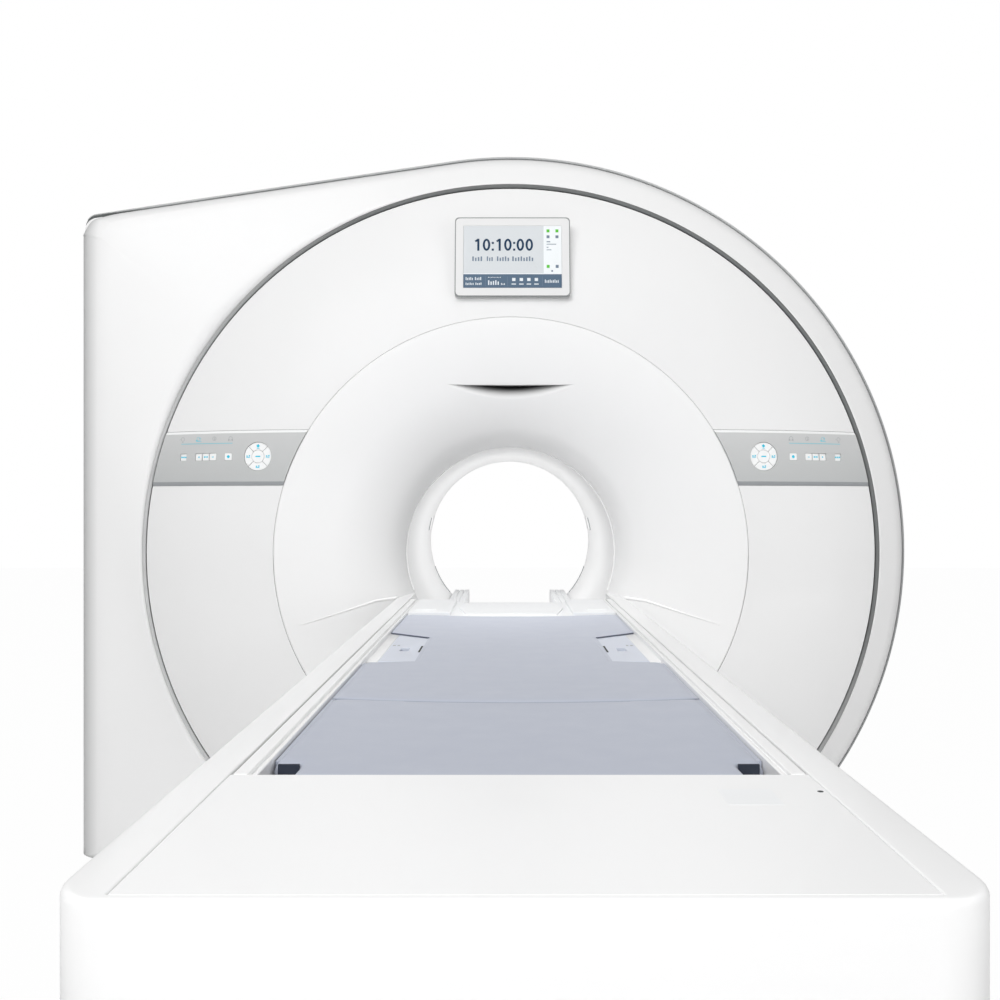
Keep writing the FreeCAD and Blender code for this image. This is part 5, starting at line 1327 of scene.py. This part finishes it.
    @staticmethod
    def clock(words: str, size: float, at: Point) -> bmesh.types.BMesh:
        """Clock digits made of ovals, bars and dots.

        Args:
            words: Ones, noughts and colons.
            size: Their height.
            at: Their lower left corner.

        Returns:
            The digits as flat shapes.
        """
        stroke = size * 0.17
        shapes, x = [], at[0]
        for letter in words:
            middle = at[1] + size / 2
            if letter == ":":
                x += size * 0.06
                shapes += [Stamp.bar(x, at[1] + size * share, stroke, stroke) for share in (0.09, 0.65)]
                x += size * 0.216
                continue
            x += size * 0.275
            if letter == "0":
                shapes.append(Stamp.ring(x, middle, size * 0.30, size / 2, stroke))
            else:
                shapes.append(Stamp.bar(x + size * 0.06, middle, stroke, size))
                shapes.append(Stamp.bar(x - size * 0.075, at[1] + size * 0.85, size * 0.27, stroke * 0.9, 35))
            x += size * 0.44
        return Stamp.joined(shapes)

    def area(self, name: str, box: tuple[float, float, float, float], look: Look) -> None:
        """A filled rectangle on the screen.

        Args:
            name: The piece's name.
            box: Left, bottom, right and top on the glass.
            look: Its finish.
        """
        left, low, right, high = box
        middle = Matrix.Translation(((left + right) / 2, self.foot + (low + high) / 2, -0.0005))
        bm = box_mesh((right - left, high - low, 0.0001), middle)
        bmesh.ops.transform(bm, matrix=self.place(), verts=bm.verts)
        self.maker.piece(name, bm, look, "display_screen")


# ---------------------------------------------------------------- the patient table

@dataclass
class TableShell:
    """The table's moulded body as one skin: belly, sides, rims and trough, with rounded foot corners."""

    half: float = 0.3055
    top: float = ISO - 0.113
    side_foot: float = ISO - 0.190
    sole: float = ISO - 0.253
    sole_half: float = 0.262
    edge: float = 0.007
    inner_edge: float = 0.002
    tray_half: float = 0.266
    tray_floor: float = ISO - 0.205
    hollow_half: float = 0.252
    hollow_floor: float = ISO - 0.247
    head: float = -0.580
    head_half: float = 0.278
    foot: float = -2.866
    wall: float = 0.010
    corner: float = 0.045
    taper_start: float = -0.812
    taper_rise: float = 0.0098

    def half_at(self, y: float) -> float:
        """The body's half width at a place along it."""
        if y > self.taper_start:
            part = (y - self.taper_start) / (self.head - self.taper_start)
            bow = 4 * self.taper_rise * part * (1 - part)
            return min(self.half + (self.head_half - self.half) * part + bow, self.half)
        reach = max(self.foot + self.corner - y, 0)
        return self.half - self.corner + math.sqrt(max(self.corner ** 2 - reach ** 2, 0))

    def loop(self, y: float, state: str, drop: float = 0.0) -> list[Vector]:
        """One cross-section.

        Args:
            y: Its place along the table.
            state: "open" with trough and hollow, "tray" with the trough alone, "closed" with neither.
            drop: How far the top is rounded down.

        Returns:
            The points, from the belly's middle up the right side, across the trough and down the left side.
        """
        shift = self.half_at(y) / self.half
        turns = [math.radians(15 * step) for step in range(7)]
        outer = [(self.sole_half, self.sole), (self.half, self.side_foot)]
        outer += [(self.half - self.edge * (1 - math.cos(turn)), self.top - self.edge * (1 - math.sin(turn)))
                  for turn in turns]
        outer = [(x * shift, z) for x, z in outer]
        lip = self.tray_half + self.inner_edge
        inner = [(lip - self.inner_edge * math.sin(turn), self.top - self.inner_edge * (1 - math.cos(turn)))
                 for turn in turns]
        inner += [(self.tray_half, self.tray_floor), (self.hollow_half, self.tray_floor)]
        if state == "open":
            inner += [(self.hollow_half, self.hollow_floor), (0, self.hollow_floor)]
        else:
            inner += [(self.hollow_half / 2, self.tray_floor), (0, self.tray_floor)]
        if state == "closed":
            begin = min(lip, outer[-1][0])
            inner = [(begin * (1 - step / (len(inner) - 1)), self.top) for step in range(len(inner))]
        right = [(x, min(z, self.top - drop)) for x, z in outer + inner]
        left = [(-x, z) for x, z in reversed(right[:-1])]
        return [Vector((x, y, z)) for x, z in [(0, self.sole)] + right + left]

    def skin(self) -> bmesh.types.BMesh:
        """The whole body, from the head end to the foot end."""
        rows = [self.loop(self.head, "tray"), self.loop(self.head - self.wall, "tray")]
        start, runs = self.head - self.wall, 12
        rows += [self.loop(start + (self.taper_start - start) * step / runs, "open")
                 for step in range(runs + 1)]
        rows += [self.loop(y, "open") for y in (-1.2, -1.6, -2.0, -2.4, self.foot + self.corner)]
        inside = self.foot + self.wall
        turns = [math.radians(10 * step) for step in range(10)]
        corner = [self.foot + self.corner * (1 - math.sin(turn)) for turn in turns]
        rows += [self.loop(y, "open") for y in corner if y > inside + 0.001]
        rows += [self.loop(inside, "open"), self.loop(inside, "closed")]
        for turn in turns:
            y, drop = self.foot + self.edge * (1 - math.sin(turn)), self.edge * (1 - math.cos(turn))
            rows.append(self.loop(y, "closed", drop))
        return lofted(rows)


@dataclass
class Table:
    """The table: shell, cradle, head plate, sockets and pedestal."""

    maker: Maker
    foot_reach: float = 0.040
    edge: Rounding = field(default_factory=lambda: Rounding(0.0012, 2, 30))

    def build(self) -> None:
        """Builds every hard piece of the table."""
        self.maker.piece("table_shell_skin", TableShell().skin(), Look.TABLE, "table_shell", ["table_shell"])
        self.foot_cover()
        self.maker.dressed("cradle", Look.TABLE, self.edge)
        self.maker.dressed("head_plate", Look.DECK, self.edge)
        for side, sign in SIDES.items():
            self.socket(side, sign)
        for node in ("pedestal_lower", "pedestal_middle", "pedestal_upper"):
            self.maker.dressed(node, Look.TABLE, self.edge)
        self.maker.dressed("table_base", Look.FRAME, Rounding(0.0015, 2, 30))

    def foot_cover(self) -> None:
        """The lid at the foot end, with its bare plate and the small hole at its right edge."""
        bm = copy_of("foot_cover")
        for vert in bm.verts:
            if vert.co.y < -2.7:
                vert.co.y -= self.foot_reach
        self.maker.piece("foot_cover_skin", bm, Look.TABLE, "foot_cover", ["foot_cover"], self.edge)
        top = TableShell.top + Stamp.THICK / 2
        self.lay("foot_cover_plate", Stamp.bar(0.194, -2.632, 0.046, 0.048), top, Look.DECK, "foot_cover")
        self.lay("foot_cover_hole", Stamp.disc(0.2585, -2.6156, 0.0026), top, Look.GAP, "foot_cover")

    def lay(self, name: str, bm: bmesh.types.BMesh, height: float, look: Look, node: str) -> None:
        """Lays a flat shape on a node's level top at a height."""
        bmesh.ops.translate(bm, vec=(0, 0, height), verts=bm.verts)
        self.maker.piece(name, bm, look, node)

    def socket(self, side: str, sign: int) -> None:
        """A coil socket's plate, with its dark mouth, the slit beside it and two small marks."""
        node = f"coil_socket_{side}"
        self.maker.dressed(node, Look.SOCKET, Rounding(0.0008, 2, 30))
        top, inside = ISO - 0.1215 + Stamp.THICK / 2, ISO - 0.1294
        slit = Stamp.bar(sign * 0.1640, -1.659, 0.0034, 0.080)
        mouth = Stamp.bar(sign * 0.1915, -1.664, 0.0145, 0.0375)
        bmesh.ops.translate(mouth, vec=(0, 0, inside - top), verts=mouth.verts)
        self.lay(f"{node}_slit", Stamp.joined([slit, mouth]), top, Look.GAP, node)
        marks = Stamp.joined([Stamp.bar(sign * 0.2155, -1.611, 0.0050, 0.0120),
                              Stamp.bar(sign * 0.2075, -1.611, 0.0045, 0.0120)])
        self.lay(f"{node}_marks", marks, top, Look.FAINT, node)


@dataclass
class Pads:
    """The two firm mats on the cradle: the solids' forms, filled out a little by simulation."""

    maker: Maker
    voxel: float = 0.005
    cap: float = 0.0012
    frames: int = 20
    held: float = 0.008
    seam: float = -2.155
    seam_bevel: float = 0.005
    half: float = 0.24
    dish: float = 5.43

    def build(self) -> None:
        """Builds both mats."""
        for node in ("pad_head", "pad_foot"):
            bm = copy_of(node)
            for vert in bm.verts:
                if abs(vert.co.y - self.seam) < 0.002 and vert.co.z > ISO - 0.135:
                    vert.co.z += self.seam_bevel
            # The mat's finish darkens towards the foot end as painted shade.
            piece = self.maker.piece(f"{node}_cover", bm, Look.PAD, node, [node])
            self.fill(piece)
        for side, sign in SIDES.items():
            self.edges(side, sign)
        self.seam_strip()

    def edges(self, side: str, sign: int) -> None:
        """Dark blocks at the foot mat's near corners, strips of painted shade along the notches' far edges, and
        crisp side edges.
        """
        wall = box_mesh((0.0205, 0.004, 0.023), Matrix.Translation((sign * 0.22375, -2.4985, ISO - 0.1300)))
        self.maker.piece(f"pad_foot_dark_block_{side}", wall, Look.PAD_DARK, "pad_foot")
        # A thin strip of painted shade along each notch's far edge.
        turn = Matrix.Rotation(math.atan2(0.074, sign * 0.081), 4, "Z")
        corner = Matrix.Translation((sign * 0.1995, -1.4753, ISO - 0.1203)) @ turn
        edge = box_mesh((0.1080, 0.0012, 0.0024), corner)
        self.maker.piece(f"pad_head_foot_{side}", edge, Look.PAD_FOOT, "pad_head")
        flank = box_mesh((0.0110, 0.296, 0.0040), Matrix.Translation((sign * 0.1557, -1.661, ISO - 0.1228)))
        self.maker.piece(f"pad_head_flank_{side}", flank, Look.PAD, "pad_head")
        for node, start, end in (("pad_head", -1.436, -1.110), ("pad_head", -2.152, -1.846),
                                 ("pad_foot", -2.484, -2.158)):
            middle = Matrix.Translation((sign * 0.2370, (start + end) / 2, ISO - 0.1245))
            edge = box_mesh((0.0060, end - start, 0.0120), middle)
            self.maker.piece(f"{node}_edge_{side}_{round(-1000 * end)}", edge, Look.PAD, node, (),
                             Rounding(0.0008, 1, 40))

    def seam_strip(self) -> None:
        """A sheet of painted shade in the gap where the two mats meet, seen as a thin line."""

        def place(u: float, v: float) -> Vector:
            """A point of the seam's strip, which follows the mats' dished top."""
            x = 0.477 * (u - 0.5)
            top = ISO - 0.1175 - (self.half ** 2 - x * x) / (2 * self.dish)
            return Vector((x, self.seam, top - self.seam_bevel * v))

        line = mapped_grid(24, 1, place)
        face_towards(line, TO_FRONT)
        piece = self.maker.piece("pad_seam_strip", line, Look.PAD_SEAM_SHADE, "pad_foot")
        shell(piece, 0.0006)

    def fill(self, piece: bpy.types.Object) -> None:
        """Remeshes a mat, lets its foam press the cover out by no more than the cap, and smooths it."""
        remesh = piece.modifiers.new("remesh", "REMESH")
        remesh.mode = "VOXEL"
        remesh.voxel_size = self.voxel
        remesh.use_smooth_shade = True
        apply_modifiers(piece)
        start = [vert.co.copy() for vert in piece.data.vertices]
        cloth = piece.modifiers.new("cloth", "CLOTH")
        cloth.settings.use_pressure = True
        cloth.settings.uniform_pressure_force = 4
        cloth.settings.effector_weights.gravity = 0
        cloth.point_cache.frame_start = 1
        cloth.point_cache.frame_end = self.frames
        scene = bpy.context.scene
        for number in range(1, self.frames + 1):
            scene.frame_set(number)
        apply_modifiers(piece)
        scene.frame_set(1)
        low = min(co.z for co in start)
        for vert, rest in zip(piece.data.vertices, start):
            move = vert.co - rest
            if move.length > self.cap:
                move *= self.cap / move.length
            if rest.z < low + self.held:
                move = Vector()
            vert.co = rest + move
        smooth = piece.modifiers.new("soften", "SUBSURF")
        smooth.levels = smooth.render_levels = 1
        for polygon in piece.data.polygons:
            polygon.use_smooth = True


# ---------------------------------------------------------------- inside

@dataclass
class Inside:
    """The pieces behind the covers, which keep their CAD meshes."""

    maker: Maker

    def build(self) -> None:
        """Paints every hidden piece."""
        looks = {
            Look.VESSEL: ("magnet_vessel",),
            Look.STEEL: ("lift_column_lower", "lift_column_middle", "lift_column_upper", "cold_head"),
            Look.FRAME: ("magnet_foot_left", "magnet_foot_right", "cover_frame"),
            Look.ALUMINIUM: ("table_frame",),
            Look.RESIN: ("gradient_coil",),
            Look.FORMER: ("body_coil",),
        }
        for look, nodes in looks.items():
            for node in nodes:
                self.maker.paint(node, look)


# ---------------------------------------------------------------- the studio

@dataclass
class Studio:
    """A pale floor, a surround that the camera sees as white, soft light and the photograph's camera."""

    lens: float = 37.8
    shift: Point = (-0.0064, 0.0052)
    eye: tuple[float, float, float] = (-0.012, -3.520, 1.0436)
    surround: float = 0.36
    floor_glow: float = 0.98

    def build(self) -> None:
        """Builds the stage, the lights and the camera."""
        self.camera()
        self.world()
        self.floor()
        self.light("key", (-2.1, -5.8, 4.2), (0.0, -0.6, 1.0), 3.0, 172)
        self.light("fill", (4.4, -4.6, 1.5), (0.0, -0.6, 0.9), 3.0, 62)
        self.light("high", (0.0, -4.5, 5.5), (0.0, -0.6, 1.6), 2.5, 69)
        self.light("deck", (0.0, -1.05, ISO + 0.30), (0.0, -1.05, 0.7), 0.35, 0.6)
        for number, (y, power) in enumerate(((0.0, 0.9), (0.38, 1.2))):
            self.bore_light(f"bore_{number}", y, power)
        bpy.context.scene.view_settings.view_transform = "Standard"

    def camera(self) -> None:
        """The photograph's camera: level, straight along the bore."""
        data = bpy.data.cameras.new("camera")
        data.lens = self.lens
        data.shift_x, data.shift_y = self.shift
        data.clip_end = 100
        camera = bpy.data.objects.new("camera", data)
        camera.location = self.eye
        camera.rotation_euler = (math.pi / 2, 0, 0)
        bpy.context.scene.collection.objects.link(camera)
        bpy.context.scene.camera = camera

    def world(self) -> None:
        """A soft grey surround that the camera alone sees as white; gloss sees the grey."""
        world = bpy.data.worlds.new("surround")
        world.use_nodes = True
        bpy.context.scene.world = world
        nodes, links = world.node_tree.nodes, world.node_tree.links
        soft = nodes["Background"]
        soft.inputs["Color"].default_value = (1, 1, 1, 1)
        soft.inputs["Strength"].default_value = self.surround
        white = nodes.new("ShaderNodeBackground")
        white.inputs["Color"].default_value = (1, 1, 1, 1)
        path = nodes.new("ShaderNodeLightPath")
        mix = nodes.new("ShaderNodeMixShader")
        links.new(path.outputs["Is Camera Ray"], mix.inputs["Fac"])
        links.new(soft.outputs["Background"], mix.inputs[1])
        links.new(white.outputs["Background"], mix.inputs[2])
        links.new(mix.outputs["Shader"], nodes["World Output"].inputs["Surface"])

    def floor(self) -> None:
        """A floor that is nearly all plain white to the camera, with a slight share of its shaded surface."""
        bm = bmesh.new()
        bmesh.ops.create_grid(bm, x_segments=8, y_segments=8, size=14)
        mesh = bpy.data.meshes.new("studio_floor")
        bm.to_mesh(mesh)
        bm.free()
        floor = bpy.data.objects.new("studio_floor", mesh)
        bpy.context.scene.collection.objects.link(floor)
        sheet = Sheet("studio floor")
        sheet.tint(sheet.noise(2, 3), srgb("EAEAEA"), srgb("EEEEEE"))
        sheet.set(Roughness=0.7)
        glow = sheet.nodes.new("ShaderNodeEmission")
        glow.inputs["Color"].default_value = (1, 1, 1, 1)
        path = sheet.nodes.new("ShaderNodeLightPath")
        scale = sheet.nodes.new("ShaderNodeMath")
        scale.operation = "MULTIPLY"
        scale.inputs[1].default_value = self.floor_glow
        mix = sheet.nodes.new("ShaderNodeMixShader")
        sheet.links.new(path.outputs["Is Camera Ray"], scale.inputs[0])
        sheet.links.new(scale.outputs["Value"], mix.inputs["Fac"])
        sheet.links.new(sheet.shader.outputs["BSDF"], mix.inputs[1])
        sheet.links.new(glow.outputs["Emission"], mix.inputs[2])
        sheet.links.new(mix.outputs["Shader"], sheet.nodes["Material Output"].inputs["Surface"])
        mesh.materials.append(sheet.material)

    @staticmethod
    def light(name: str, at: tuple[float, float, float], towards: tuple[float, float, float], size: float,
              power: float) -> None:
        """A square soft box that points at a place."""
        data = bpy.data.lights.new(name, "AREA")
        data.size = size
        data.energy = power
        lamp = bpy.data.objects.new(name, data)
        lamp.visible_glossy = lamp.visible_camera = False
        lamp.location = at
        lamp.rotation_euler = (Vector(towards) - Vector(at)).to_track_quat("-Z", "Y").to_euler()
        bpy.context.scene.collection.objects.link(lamp)

    @staticmethod
    def bore_light(name: str, y: float, power: float) -> None:
        """A small soft lamp on the bore's axis, as such scanners light their bore."""
        data = bpy.data.lights.new(name, "POINT")
        data.energy = power
        data.shadow_soft_size = 0.12
        lamp = bpy.data.objects.new(name, data)
        lamp.visible_glossy = False
        lamp.location = (0, y, ISO)
        bpy.context.scene.collection.objects.link(lamp)


def main() -> None:
    """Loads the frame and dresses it."""
    logging.basicConfig(level=logging.INFO, format="%(message)s")
    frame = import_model()
    maker = Maker(frame)
    Gantry(maker).build()
    Controls(maker).build()
    Display(maker).build()
    Table(maker).build()
    Pads(maker).build()
    Inside(maker).build()
    Studio().build()
    LOG.info("%d pieces made", len(maker.made))


if __name__ == "__main__":
    main()
